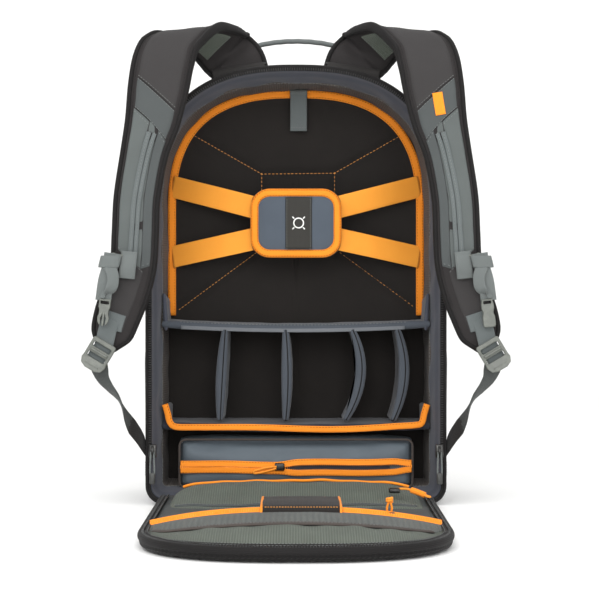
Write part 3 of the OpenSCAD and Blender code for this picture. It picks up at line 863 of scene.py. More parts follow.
# ---------------------------------------------------------------- the bag's outline
@dataclass
class Outline:
    """The bag seen from the front: straight sides, round lower corners and a domed top.

    The dome is a superellipse of exponent power. An inset is measured square to the outline.
    """

    half_w: float
    top: float
    base: float
    dome_h: float = 157.0
    corner_r: float = 18.0
    power: float = 2.5
    count: int = 432

    @cached_property
    def loop(self) -> Array:
        """The closed outline from the middle of the base, anticlockwise, as rows of x, z."""
        a = np.linspace(0, math.pi / 2, 12)
        right = np.stack([self.half_w - self.corner_r * (1 - np.sin(a)),
                          self.base + self.corner_r * (1 - np.cos(a))], -1)
        b = np.linspace(0, math.pi / 2, 90)
        spring = self.top - self.dome_h
        dome = np.stack([self.half_w * np.cos(b) ** (2 / self.power),
                         spring + self.dome_h * np.sin(b) ** (2 / self.power)], -1)
        half = np.vstack([[[0.0, self.base]], right, dome])
        ring = np.vstack([half, half[-2::-1] * np.array([-1, 1])])
        return resample(ring, self.count, closed=True)

    @cached_property
    def normal(self) -> Array:
        """Outward directions along the outline, as rows of x, z."""
        t = along(self.loop, closed=True)
        for _ in range(3):
            t = unit(t + 0.5 * (np.roll(t, 1, 0) + np.roll(t, -1, 0)))
        return np.stack([t[:, 1], -t[:, 0]], -1)

    def above(self, z: float) -> Array:
        """Numbers of the outline's points that are higher than z, in order."""
        return np.flatnonzero(self.loop[:, 1] > z)

    def surface(self, inset: Array, y: Array) -> Array:
        """Points of a surface that follows the outline.

        Args:
            inset: distance inwards, shaped (count, m) or (m,).
            y: depth, in the same shape.

        Returns:
            Points shaped (count, m, 3).
        """
        inset = np.broadcast_to(inset, (self.count, np.shape(inset)[-1]))
        y = np.broadcast_to(y, inset.shape)
        x = self.loop[:, :1] - self.normal[:, :1] * inset
        z = self.loop[:, 1:] - self.normal[:, 1:] * inset
        return xyz(x, y, z)

    def path(self, inset: float, y: float, pick: Array | None = None) -> Array:
        """The outline set in, at one depth, whole or at some of its points."""
        pts = self.surface(np.array([inset]), np.array([y]))[:, 0]
        return pts if pick is None else pts[pick]

    def out(self, pick: Array | None = None) -> Array:
        """Outward directions in space, whole or at some of the outline's points."""
        n = xyz(self.normal[:, 0], 0, self.normal[:, 1])
        return n if pick is None else n[pick]

    def disc(self, inset: float, rings: int, height: Callable[[Array, Array], Array], y: float) -> Array:
        """Points that fill the outline, from its edge to its middle line.

        Each ring shrinks towards the middle line from 120 mm over the base to 120 mm under the
        top, so the rings stay even.

        Args:
            inset: distance inwards of the outer ring.
            rings: how many rings.
            height: gives a depth to add for x and z.
            y: depth of the flat surface.

        Returns:
            Points shaped (rings, count, 3), the outer ring first.
        """
        edge = self.path(inset, 0.0)
        core = xyz(0, 0, np.clip(edge[:, 2], self.base + 120, self.top - 120))
        s = np.linspace(1, 0.02, rings)[:, None, None]
        pts = core + (edge - core) * s
        pts[..., 1] = y + height(pts[..., 0], pts[..., 2])
        return pts


def segment_distance(x: Array, z: Array, lines: Iterable[tuple]) -> Array:
    """Distance from points to the nearest of some straight lines between two points each."""
    best = np.full(x.shape, 1e9)
    for (ax, az), (bx, bz) in lines:
        dx, dz = bx - ax, bz - az
        t = np.clip(((x - ax) * dx + (z - az) * dz) / (dx * dx + dz * dz), 0, 1)
        best = np.minimum(best, np.hypot(x - ax - t * dx, z - az - t * dz))
    return best


# ---------------------------------------------------------------- bag
@dataclass
class Bag:
    """Shell, rim, lining, back pad and the pieces sewn to them."""

    outline: Outline = field(init=False)
    rim_y: float = field(init=False)
    wall_y: float = field(init=False)
    pad_y: float = field(init=False)
    far_y: float = field(init=False)
    mesh_depth: float = 46.0
    quilt_groove: float = 3.0
    outline_step: float = 3.2

    def __post_init__(self) -> None:
        """Read the driving sizes from the frame."""
        lo, hi = node_box("outer_shell")
        self.outline = Outline(hi[0], hi[2], lo[2])
        self.rim_y, self.wall_y = lo[1], hi[1]
        self.pad_y = node_box("back_pad")[0][1]
        self.far_y = node_box("far_pocket")[1][1]

    @cached_property
    def run(self) -> Array:
        """Millimetres along the outline, one row for each of its points."""
        return np.arange(self.outline.count)[:, None] * self.outline_step

    def shell(self) -> None:
        """The outer fabric: a closed band round the outline that swells a little and folds."""
        u = np.linspace(0, 1, 22)
        y = self.rim_y + 0.6 + (self.wall_y - self.rim_y - 1.2) * u
        folds = ripple(self.run, y[None], 3, 60.0) * 1.3 * np.sin(math.pi * u) ** 0.7
        swell = 3.0 * np.sin(math.pi * u) ** 0.8 * ease((self.outline.loop[:, 1:] - 20) / 60)
        outer = -swell - folds * ease((self.outline.loop[:, 1:] - 8) / 30)
        inner = np.full((self.outline.count, 4), 3.2)
        inset = np.hstack([outer, inner])
        depth = np.concatenate([y, np.linspace(self.wall_y, self.rim_y, 4)])
        pts = self.outline.surface(inset, depth)
        piece = grid_piece("shell_cloth", pts, wrap_u=True, wrap_v=True)
        dress(piece, SHELL, "bag", ["outer_shell"])
        for name, y, inset in (("shell_front_piping", self.rim_y + 0.5, -0.4),
                               ("shell_far_piping", self.wall_y - 1.0, -0.6)):
            dress(rope(name, self.outline.path(inset, y), 4.2, closed=True), BINDING, "bag")
        seam = self.outline.path(-1.2, self.rim_y + 6)
        dress(stitches("shell_front_stitches", seam, self.outline.out(), closed=True), THREAD_BLACK,
              "bag")
        dress(stitches("shell_far_stitches", self.outline.path(-1.3, self.wall_y - 7),
                       self.outline.out(), closed=True), THREAD_BLACK, "bag")

    def sole(self) -> None:
        """A rubbery sole plate with round corners and a bevelled rim."""
        lo, hi = node_box("sole")
        mid = (lo + hi) / 2
        ring = oval(hi[0] - lo[0], hi[1] - lo[1], 14)
        piece = plate("sole_plate", ring, [], lo[2], hi[2], 1.0, lambda p: p + [mid[0], mid[1], 0])
        dress(piece, ACETAL_DARK, "bag", ["sole"])

    def rim(self) -> None:
        """The body half of the main zip: tape, coil and stitching round three sides."""
        pick = self.outline.above(46)
        out = self.outline.out(pick)
        tape = self.outline.path(1.4, self.rim_y - 1.4, pick)
        dress(sweep("main_zip_tape", tape, out, 6.4, 1.6, dent=lambda r, a: 0.25 * np.sin(r / 9)),
              BINDING, "bag", ["main_zip_track"])
        dress(zip_coil("main_zip_coil", self.outline.path(3.4, self.rim_y - 2.4, pick), out, 2.6, 4.4),
              COIL, "bag")
        facing = np.array([0.0, -1.0, 0.0])
        dress(stitches("main_zip_stitches", self.outline.path(0.2, self.rim_y - 2.2, pick), facing,
                       3.2, 2.2, 0.6), THREAD_BLACK, "bag")

    def lining(self) -> None:
        """Padded side lining: a slate roll behind the rim, then brown-black air mesh to the pad."""
        k = np.linspace(0, 1, 16)
        start = self.rim_y + 1.5
        roll_y = start + self.mesh_depth * k
        slack = ripple(self.run, roll_y[None], 11, 46.0)
        top = ease((self.outline.loop[:, 1:] - 16) / 40)
        face = 4.4 + 9.1 * k**0.8 - 1.4 * np.sin(math.pi * np.clip(k * 2.4, 0, 1)) + 1.3 * slack * k * top
        back = np.full((self.outline.count, 3), 3.6)
        inset = np.hstack([face, back])
        y = np.concatenate([roll_y, np.linspace(start + self.mesh_depth, start, 3)])
        roll = grid_piece("lining_roll", self.outline.surface(inset, y), wrap_u=True, wrap_v=True)
        dress(roll, LINING, "bag", ["side_lining"])
        mesh_y = np.linspace(self.rim_y + self.mesh_depth, self.pad_y, 18)
        k = (mesh_y - mesh_y[0]) / (mesh_y[-1] - mesh_y[0])
        face = 13.0 + 3.5 * k + 1.2 * ripple(self.run, mesh_y[None], 17, 52.0) * top
        inset = np.hstack([face, np.full((self.outline.count, 2), 4.0)])
        y = np.concatenate([mesh_y, [self.pad_y, self.rim_y + self.mesh_depth]])
        dress(grid_piece("lining_mesh", self.outline.surface(inset, y), wrap_u=True, wrap_v=True),
              GUSSET, "bag")
        seam = self.outline.path(13.6, self.rim_y + self.mesh_depth - 1)
        dress(stitches("lining_stitches", seam, -self.outline.out(), 4.0, 2.6, 0.7, closed=True),
              THREAD_GREY, "bag")

    def quilt_lines(self) -> list[tuple]:
        """Seams of the back pad, as pairs of x, z points: two funnels that meet behind the harness."""
        up = [(-121, 420), (-40, 374), (45, 375), (126, 421)]
        down = [(-136, 216), (-40, 287), (45, 287), (139, 218)]
        lines = [*zip(up[:-1], up[1:]), *zip(down[:-1], down[1:])]
        return lines + [((-40, 374), (-40, 287)), ((45, 375), (45, 287))]

    def back_pad(self) -> None:
        """Quilted velour pad: crowned cells between sewn grooves, with orange thread in them."""
        lines = self.quilt_lines()

        def cells(x: Array, z: Array) -> Array:
            gap = segment_distance(x, z, lines)
            groove = self.quilt_groove * np.exp(-(gap / 5.0) ** 2)
            return groove - 2.6 * (1 - np.exp(-gap / 24)) + 0.35 * ripple(x, z, 23, 34.0)

        front = self.outline.disc(15, 72, cells, self.pad_y - 0.6)
        back = self.outline.disc(15, 2, lambda x, z: 0 * x, self.pad_y + 11.4)
        pts = np.concatenate([front[::-1], back])
        quilt = grid_piece("back_pad_quilt", pts, wrap_v=True, caps=True)
        dress(quilt, VELOUR, "bag", ["back_pad"])
        for k, ((ax, az), (bx, bz)) in enumerate(lines):
            line = np.linspace([ax, 0, az], [bx, 0, bz], 60)
            line[:, 1] = self.pad_y - 0.6 + cells(line[:, 0], line[:, 2])
            dress(stitches(f"back_pad_thread_{k}", line, [0, -1, 0], 4.2, 3.0, 0.75), THREAD_ORANGE,
                  "bag")
        dress(self.flat_wall(), SHELL, "bag", ["inner_wall"])

    def flat_wall(self) -> Piece:
        """The stiff wall behind the pad, a plain board with the outline's edge."""
        lo, hi = node_box("inner_wall")
        near = self.outline.disc(3.4, 3, lambda x, z: 0 * x, lo[1] + 0.2)
        far = self.outline.disc(3.4, 3, lambda x, z: 0 * x, hi[1] - 0.2)
        return grid_piece("stiff_wall", np.concatenate([near[::-1], far]), wrap_v=True, caps=True)

    def piping(self) -> None:
        """Orange binding round the pad, down to the shelf, with its row of stitches."""
        bottom = node_box("back_piping")[0][2]
        pick = self.outline.above(bottom)
        path = self.outline.path(20.6, self.pad_y - 4.2, pick)
        out = self.outline.out(pick)
        dress(sweep("orange_binding", path, out, 9.4, 4.6, count=20, power=3.2,
                    dent=lambda r, a: 0.22 * np.sin(r / 7) * (1 - (a / 5) ** 2)),
              ORANGE_TAPE, "bag", ["back_piping"])
        for name, shift, lift in (("outer", 3.0, 2.1), ("inner", -3.4, 1.9)):
            dress(stitches(f"orange_binding_stitches_{name}", path + out * shift - [0, lift, 0], [0, -1, 0],
                           3.4, 2.3, 0.62), THREAD_DARK, "bag")

    def top_tab(self) -> None:
        """Webbing tab at the top: a root sewn over the binding, and a folded tab that hangs free."""
        lo, hi = node_box("top_tab")
        rlo, rhi = node_box("top_tab_root")
        x = (lo[0] + hi[0]) / 2
        y = (lo[1] + hi[1]) / 2
        fold = np.array([[x, self.pad_y - 1, rhi[2] - 2], [x, rlo[1] + 4, rhi[2]], [x, y + 0.4, rhi[2] - 1],
                         [x, y - 0.6, rlo[2] + 1], [x, y, rlo[2] - 1]])
        dress(sweep("tab_root", spline(fold, 30), [1, 0, 0], 20, 2.2, power=WEB_EDGE), WEB_GREY, "bag",
              ["top_tab_root"])
        drop = np.array([[x, y, hi[2]], [x, y - 0.4, hi[2] - 14], [x, y - 0.2, lo[2] + 10],
                         [x, y, lo[2] + 1]])
        dress(sweep("tab_cloth", spline(drop, 40), [1, 0, 0], 19.6, 2.8, power=4.5,
                    dent=lambda r, a: 0.3 * np.exp(-((r - 34) / 2.2) ** 2)),
              RAIL_GREY, "tab", ["top_tab"])
        hem = np.linspace([lo[0] + 2, y - 1.5, lo[2] + 5], [hi[0] - 2, y - 1.5, lo[2] + 5], 20)
        dress(stitches("tab_stitches", hem, [0, -1, 0], 2.6, 1.8, 0.6), THREAD_GREY, "tab")

    def far_pocket(self) -> None:
        """The pocket on the far side: a padded cover that rounds over to a crowned face."""
        start = node_box("far_pocket")[0][1]
        turn = np.linspace(0, math.pi / 2, 9)
        r = 17.0
        inset = np.concatenate([[9.0, 8.2, 8.4], 9.0 + r * (1 - np.cos(turn))])
        y = np.concatenate([[start, start + 10, start + 26], self.far_y - 6 - r + r * np.sin(turn)])
        slack = ripple(self.run, y[None], 31, 70.0) * np.linspace(0, 1.4, len(y))
        side = self.outline.surface(inset + slack, y).transpose(1, 0, 2)
        edge = side[-1]
        core = xyz(0, edge[:, 1], np.clip(edge[:, 2], 120, 360))
        s = np.linspace(1, 0.02, 34)[1:, None, None]
        face = core + (edge - core) * s
        slack = ripple(face[..., 0], face[..., 2], 37, 80.0)
        crown = 5.0 * (1 - s[..., 0] ** 2) + 0.9 * slack * (1 - s[..., 0])
        seam = segment_distance(face[..., 0], face[..., 2], self.far_seams())
        face[..., 1] += crown - 1.6 * np.exp(-(seam / 4.0) ** 2)
        low = side[:1]
        base = low[0].mean(0)
        floor = base + (low - base) * np.array([[[0.02]], [[1.0]]])
        pts = np.concatenate([floor, side[1:], face])
        dress(grid_piece("far_pocket_cover", pts, wrap_v=True, caps=True), SHELL, "bag",
              ["far_pocket"])
        for k, ((ax, az), (bx, bz)) in enumerate(self.far_seams()):
            line = np.linspace([ax, self.far_y - 1.0, az], [bx, self.far_y - 1.0, bz], 40)
            dress(stitches(f"far_seam_{k}", line, [0, 1, 0], 4.0, 2.8, 0.7, lift=0.0), THREAD_GREY, "bag")
        self.far_zip()
        self.far_trim()

    def far_seams(self) -> list[tuple]:
        """Seams of the far face, as pairs of x, z points."""
        return [((-118, 196), (118, 196)), ((-72, 196), (-58, 416)), ((72, 196), (58, 416)),
                ((-58, 416), (58, 416))]

    def far_zip(self) -> None:
        """The arched zip of the far pocket: black tape, an orange coil, a rain flap and a cord pull."""
        lo, hi = node_box("far_pocket_zip")
        pick = self.outline.above(lo[2])
        y = (lo[1] + hi[1]) / 2
        path = self.outline.path(8.2, y, pick)
        dress(sweep("far_zip_tape", path, [0, 1, 0], 11, 1.6, power=WEB_EDGE), BINDING, "bag",
              ["far_pocket_zip"])
        dress(zip_coil("far_zip_coil", self.outline.path(7.2, y, pick), [0, 1, 0]), COIL_ORANGE, "bag")
        dress(rope("far_zip_flap", self.outline.path(7.2, y + 7.5, pick), 3.4), BINDING, "bag")
        slo, shi = node_box("far_pocket_slider")
        mid = (slo + shi) / 2
        body = rounded_block("far_slider_body", [shi[0] - 5.0, mid[1] - 4, shi[2] - 15],
                             [shi[0] - 0.4, mid[1] + 4, shi[2] - 1], 1.4)
        dress(body, ZINC, "far_pocket_slider", ["far_pocket_slider"])
        x = slo[0] + 1.6
        cord = np.array([[x, mid[1] - 1.5, shi[2] - 14], [x - 1, mid[1] - 3, slo[2] + 14],
                         [x - 1, mid[1], slo[2] + 3], [x - 1, mid[1] + 3, slo[2] + 14],
                         [x, mid[1] + 1.5, shi[2] - 14]])
        dress(rope("far_slider_cord", spline(cord, 60), 2.6), ORANGE_CORD, "far_pocket_slider")

    def far_trim(self) -> None:
        """Two webbing strips and a stretch pocket on the lower half of the far face."""
        x = np.linspace(-1, 1, 60)[:, None]
        v = np.linspace(0, 1, 30)[None]
        width = 112 - 10 * v
        z = 40 + v * (152 - 10 * (1 - x**2))
        edge = np.minimum(1, (1 - np.abs(x)) * 9) * np.minimum(1, v * 8)
        y = self.far_y + 2.0 + 4.2 * edge**0.6 * (0.6 + 0.4 * v) + 0.8 * ripple(x * 110, z, 41, 60.0) * edge
        front = xyz(x * width, y, z)
        back = front.copy()
        back[..., 1] = self.far_y - 2.5
        ring = np.concatenate([front, back[:, ::-1]], axis=1)
        dress(grid_piece("far_stretch_pocket", ring, wrap_v=True, caps=True), MESH_BLACK, "bag")
        hem = front[:, -1] + [0, 0.4, 0]
        dress(sweep("far_stretch_hem", hem, [0, 0, 1], 12, 2.4, power=WEB_EDGE), BINDING, "bag")
        for k, x0 in enumerate((-92, 92)):
            line = np.array([[x0, self.far_y - 1.2, 206], [x0 * 0.985, self.far_y + 0.6, 280],
                             [x0 * 0.93, self.far_y - 0.6, 356], [x0 * 0.88, self.far_y - 5, 404]])
            path = spline(line, 80)
            dress(sweep(f"far_webbing_{k}", path, [1, 0, 0], 20, 2.0, power=WEB_EDGE,
                        dent=lambda r, a: 1.6 * np.abs(np.sin(r * math.pi / 38)) - 0.4),
                  WEB_BLACK, "bag")
            for j, share in enumerate((0.02, 0.22, 0.42, 0.62, 0.8, 0.97)):
                at = path[int(share * 79)] + [0, 1.4, 0]
                bar = np.linspace(at - [7.5, 0, 0], at + [7.5, 0, 0], 12)
                dress(stitches(f"far_tack_{k}_{j}", bar, [0, 1, 0], 1.2, 1.1, 1.0), THREAD_GREY, "bag")

    def side_pockets(self) -> None:
        """Stretch pockets on both sides: mesh that bellies out, under an elastic hem."""
        lo, hi = node_box("side_pocket_left")
        for name, s in SIDES:
            v = np.linspace(0, 1, 36)[:, None]
            w = np.linspace(0, 1, 26)[None]
            z = lo[2] + (hi[2] - lo[2]) * v + 0 * w
            y = lo[1] + (hi[1] - lo[1]) * w - 6 * (1 - v) * (w - 0.5)
            belly = 7.5 * np.sin(math.pi * w) ** 0.5 * np.sin(math.pi * (0.08 + 0.86 * v)) ** 0.6
            belly = belly * (0.75 + 0.45 * v) + 0.7 * ripple(z, y, 47, 40.0) * np.sin(math.pi * w)
            skin = xyz(s * (166.2 + belly), y, z)
            root = xyz(s * 163.5, y, z)
            ring = np.concatenate([skin, root[:, ::-1]], axis=1)
            dress(grid_piece(f"side_mesh_{name}", ring, wrap_v=True, caps=True), MESH_BLACK, "bag",
                  [f"side_pocket_{name}"])
            hem = skin[-1] + [s * 0.8, 0, 0]
            dress(sweep(f"side_hem_{name}", hem, [0, 0, 1], 13, 2.6, power=WEB_EDGE), BINDING, "bag")
            dress(stitches(f"side_hem_stitches_{name}", hem + [s * 1.4, 0, -3.5], [s, 0, 0], 3.4, 2.4, 0.65),
                  THREAD_GREY, "bag")
            edge = np.concatenate([skin[:, 0], skin[0, 1:-1], skin[::-1, -1]])
            dress(rope(f"side_piping_{name}", spline(edge[::5], 120), 3.0), BINDING, "bag")

    def handle(self) -> None:
        """Tubular webbing handle on two sewn patches."""
        lo, hi = node_box("grab_handle")
        y = (lo[1] + hi[1]) / 2
        half = (hi[0] - lo[0]) / 2 - 3.5
        z0 = lo[2] + 3.0
        a = np.linspace(0, math.pi, 21)[:, None]
        arc = np.hstack([-half * np.cos(a), y + 0 * a, z0 + (hi[2] - z0 - 3.0) * np.sin(a) ** 0.62])
        path = spline(np.vstack([arc[:1] + [26, 0, 0.4], arc, arc[-1:] - [26, 0, -0.4]]), 140)
        dress(sweep("handle_tube", path, [0, 1, 0], 6.4, 5.8, count=18, power=2.0,
                    dent=lambda r, c: 0.12 * np.sin(r / 2.2)), WEB_GREY, "handle",
              ["grab_handle"])
        plo, phi = node_box("handle_patches")
        y0, y1, z = plo[1] + 3, phi[1] - 3, phi[2] + 0.2
        for name, s in SIDES:
            x0, x1 = sorted((s * phi[0], s * (phi[0] - 20)))
            top = rounded_block(f"handle_patch_{name}", [x0, plo[1], phi[2] - 14], [x1, phi[1], phi[2]],
                                3.0, 3)
            dress(top, SHELL_PATCH, "bag", ["handle_patches"] if s < 0 else [])
            box = np.array([[x0 + 3, y0, z], [x1 - 3, y0, z], [x1 - 3, y1, z], [x0 + 3, y1, z],
                            [x0 + 3, y0, z]])
            dress(stitches(f"handle_tack_{name}", box, [0, 0, 1], 2.6, 1.9, 0.7), THREAD_GREY, "bag")

    def sliders(self) -> None:
        """Main zip sliders, each a body with a bridge, a grey cord and a moulded grip."""
        for name in ("left", "right"):
            node = f"main_slider_{name}"
            lo, hi = node_box(node)
            x = (lo[0] + hi[0]) / 2
            body = rounded_block(f"{node}_body", [x - 4.4, hi[1] - 4.4, hi[2] - 15],
                                 [x + 4.4, hi[1] - 0.2, hi[2]], 1.5, 3)
            dress(body, ZINC, node, [node])
            bridge = spline([[x, hi[1] - 4, hi[2] - 2], [x, hi[1] - 7, hi[2] - 5], [x, hi[1] - 7, hi[2] - 10],
                             [x, hi[1] - 4, hi[2] - 13]], 24)
            dress(sweep(f"{node}_bridge", bridge, [1, 0, 0], 3.0, 1.4), ZINC, node)
            pull = spline([[x - 1.6, hi[1] - 6.2, hi[2] - 8], [x - 2.4, hi[1] - 6.6, lo[2] + 16],
                           [x - 1.5, hi[1] - 6.2, lo[2] + 5], [x + 1.5, hi[1] - 6.2, lo[2] + 5],
                           [x + 2.4, hi[1] - 6.6, lo[2] + 16], [x + 1.6, hi[1] - 6.2, hi[2] - 8]], 70)
            dress(rope(f"{node}_cord", pull, 2.0), WEB_GREY, node)
            grip = rounded_block(f"{node}_grip", [x - 3.2, hi[1] - 8.0, lo[2]],
                                 [x + 3.2, hi[1] - 4.6, lo[2] + 13], 1.4, 3)
            dress(grip, ACETAL_DARK, node)

    def build(self) -> None:
        """Build the bag's pieces in order."""
        for step in (self.shell, self.sole, self.rim, self.lining, self.back_pad, self.piping,
                     self.top_tab, self.far_pocket, self.side_pockets, self.handle, self.sliders):
            step()
            LOG.info("bag: %s", step.__name__)


# ---------------------------------------------------------------- padded boards
def cushion_board(name: str, half_u: float, half_v: float, thick: float,
                  place: Callable[[Array, Array, Array], Array], round_mm: float = 3.0, seed: int = 5,
                  nu: int = 60, nv: int = 24) -> Piece:
    """A soft board with round edges, worked out in its own u, v and thickness, then put in place.

    Args:
        name: the object's name.
        half_u: half its length along u.
        half_v: half its length along v.
        thick: its full thickness.
        place: gives points in millimetres for u, v and height over the middle surface.
        round_mm: how far the edge's rounding reaches in.
        seed: sets its soft folds.
        nu: points along u.
        nv: points along v on each face.

    Returns:
        The closed piece.
    """
    def spread(half: float, n: int) -> Array:
        t = np.linspace(-1, 1, n)
        return half * np.sign(t) * (1 - (1 - np.abs(t)) ** 1.6)

    u = spread(half_u, nu)[:, None]
    v = spread(half_v, nv)[None]
    edge = np.minimum((half_u - np.abs(u)), (half_v - np.abs(v))) / round_mm
    rise = thick / 2 * np.sqrt(1 - (1 - np.clip(edge, 0.02, 1)) ** 2)
    rise = rise + 0.35 * ripple(u + 0 * v, v + 0 * u, seed, 30.0) * np.clip(edge, 0, 1)
    top = place(u + 0 * v, v + 0 * u, rise)
    bottom = place(u + 0 * v, v + 0 * u, -rise)
    ring = np.concatenate([top, bottom[:, ::-1]], axis=1)
    return grid_piece(name, ring, wrap_v=True, caps=True)


# ---------------------------------------------------------------- insert
@dataclass
class Insert:
    """Padded shelf, tray and four dividers that part the lower half of the compartment."""

    sag: float = 4.5
    leans: tuple[float, ...] = (6.0, 0.0, 8.0, 5.0)
    bulges: tuple[float, ...] = (0.0, 3.0, 14.0, 9.0)

    def shelf(self) -> None:
        """The shelf: a soft board that sags between its walls, with a raised flap at each end."""
        lo, hi = node_box("shelf")
        board = hi[2] - 27 - 4.5
        y0, y1 = lo[1], hi[1]
        mid_y, half_y = (y0 + y1) / 2, (y1 - y0) / 2

        def place(u: Array, v: Array, h: Array) -> Array:
            bow = -self.sag * (1 - (u / hi[0]) ** 2) ** 1.2
            return xyz(u, mid_y + v, board + h + bow)

        piece = cushion_board("shelf_board", hi[0] - 0.4, half_y - 0.2, 8.8, place, nu=90)
        dress(piece, SHELF_CLOTH, "bag", ["shelf"])
        for name, s in SIDES:
            flap_z = (board - 4 + hi[2]) / 2
            half_z = (hi[2] - board + 4) / 2

            def stand(u: Array, v: Array, h: Array, s: int = s) -> Array:
                lean = 1.2 * (v / half_z)
                return xyz(s * (hi[0] - 4.0 + lean) + h, mid_y - 3.5 + u, flap_z + v * (1 - 0.2 * u / half_y))

            flap = cushion_board(f"shelf_flap_{name}", half_y - 4.5, half_z, 4.6, stand, nu=40, nv=18)
            dress(flap, LINING, "bag")
            seam = np.linspace([s * (hi[0] - 6.4), y0 + 3, hi[2] - 8],
                               [s * (hi[0] - 6.4), y1 - 12, hi[2] - 8], 20)
            dress(stitches(f"shelf_flap_stitches_{name}", seam, [-s, 0, 0], 3.6, 2.5, 0.6), THREAD_GREY,
                  "bag")
        x = np.linspace(-130, 123, 70)
        line = xyz(x, y0 + 0.4, board - 4.9 - self.sag * (1 - (x / hi[0]) ** 2) ** 1.2)
        dress(sweep("shelf_hook_strip", line + [0, 0, 2.2], [0, 0.25, 1], 4.4, 2.0, power=WEB_EDGE),
              HOOK_TAPE, "bag")
        edge = xyz(x, y0 - 0.1, line[:, 2] + 8.4)
        dress(stitches("shelf_front_stitches", edge, [0, -1, 0.2], 3.8, 2.6, 0.6), THREAD_GREY, "bag")

    def tray(self) -> None:
        """The tray under the dividers, with a raised flap at each end and an orange binding."""
        lo, hi = node_box("tray")
        y0, y1 = lo[1], hi[1]
        mid_y, half_y = (y0 + y1) / 2, (y1 - y0) / 2
        mid_z = lo[2] + 4.5

        def place(u: Array, v: Array, h: Array) -> Array:
            return xyz(u, mid_y + v, mid_z + h - 3.0 * (1 - (u / hi[0]) ** 2) * (0.5 - v / half_y / 2))

        floor = cushion_board("tray_floor", hi[0] - 0.4, half_y - 0.2, 8.6, place, nu=90)
        dress(floor, CELL_CLOTH, "bag", ["tray"])
        for name, s in SIDES:
            half_z = (hi[2] - lo[2]) / 2 - 1

            def stand(u: Array, v: Array, h: Array, s: int = s, half_z: float = half_z) -> Array:
                return xyz(s * (hi[0] - 4.8) + h, mid_y - 0.5 + u, lo[2] + 1 + half_z + v)

            flap = cushion_board(f"tray_flap_{name}", half_y - 2, half_z, 7.6, stand, nu=40, nv=14)
            dress(flap, CELL_CLOTH, "bag")
        self.binding()

    def binding(self) -> None:
        """Orange binding along the tray's front edge and up both flaps, with its stitches."""
        lo, hi = node_box("tray_binding")
        z = lo[2] + 5.0
        w = hi[0] - 5
        x = np.linspace(-w + 12, w - 12, 14)
        bow = -3.6 * (1 - (x / w) ** 2) - 1.1 * np.sin(x / 31)
        mid = xyz(x, hi[1] - 1.0, z + bow)
        ends = np.array([[-w - 1, hi[1] - 1.0, hi[2] + 1], [-w + 2, hi[1] - 1.0, hi[2] - 9],
                         [-w + 5, hi[1] - 1.0, z + 3]])
        path = spline(np.vstack([ends, mid, ends[::-1] * [-1, 1, 1]]), 170)
        t = along(path)
        side = xyz(-t[:, 2], 0, t[:, 0])
        dress(sweep("tray_edge", path, side, 7.4, 4.4, power=3,
                    dent=lambda r, a: 0.25 * np.sin(r / 6.5) * (1 - (a / 5) ** 2)),
              ORANGE_TAPE, "bag", ["tray_binding"])
        dress(stitches("tray_edge_stitches", path + side * 2.4 - [0, 2.1, 0], [0, -1, 0], 3.4, 2.3, 0.6),
              THREAD_DARK, "bag")

    def dividers(self) -> None:
        """Four dividers: soft boards with a rolled front edge and a row of stitches on each face."""
        for k in range(4):
            node = f"divider_{k + 1}"
            lo, hi = node_box(node)
            lean, bulge = self.leans[k], self.bulges[k]
            x0 = (lo[0] + hi[0]) / 2 - (bulge / 2 if bulge > 5 else 0)
            mid = (lo + hi) / 2
            half_z, half_y = (hi[2] - lo[2]) / 2, (hi[1] - lo[1]) / 2

            def place(u: Array, v: Array, h: Array) -> Array:
                f = v / half_z
                x = x0 + lean * f / 2 + bulge * (1 - f**2)
                wave = 1.6 * np.sin(u / 17 + k) * (1 - f**2)
                return xyz(x + h + wave, mid[1] + u, mid[2] + v)

            board = cushion_board(node + "_board", half_y - 0.4, half_z - 0.3, 7.6, place, seed=50 + k,
                                  nu=44, nv=44)
            dress(board, SHELF_CLOTH if k in (0, 2) else CELL_CLOTH, node, [node])
            v = np.linspace(-half_z + 1.5, half_z - 1.5, 50)
            roll = place(0 * v - half_y + 1.4, v, 0 * v)
            lens = np.sin(math.pi * np.linspace(0.06, 0.94, 50)) ** 0.8
            dress(sweep(node + "_edge", roll, [1, 0, 0], 4.6 + 7.6 * lens, 7.4, count=18, power=ROLL_EDGE),
                  SHELF_CLOTH, node)
            dress(rope(node + "_seam", roll + np.outer(1.4 * lens, [1, 0, 0]) - [0, 3.5, 0], 1.3),
                  THREAD_BLACK, node)
            dress(stitches(node + "_stitches", place(0 * v - half_y + 7, v * 0.84, 0 * v + 3.7), [1, 0, 0],
                           3.8, 2.6, 0.6), THREAD_GREY, node)
            dress(stitches(node + "_stitches_far", place(0 * v - half_y + 7, v * 0.84, 0 * v - 3.7),
                           [-1, 0, 0], 3.8, 2.6, 0.6), THREAD_GREY, node)

    def build(self) -> None:
        """Build the insert's pieces in order."""
        self.shelf()
        self.tray()
        self.dividers()
        LOG.info("insert done")


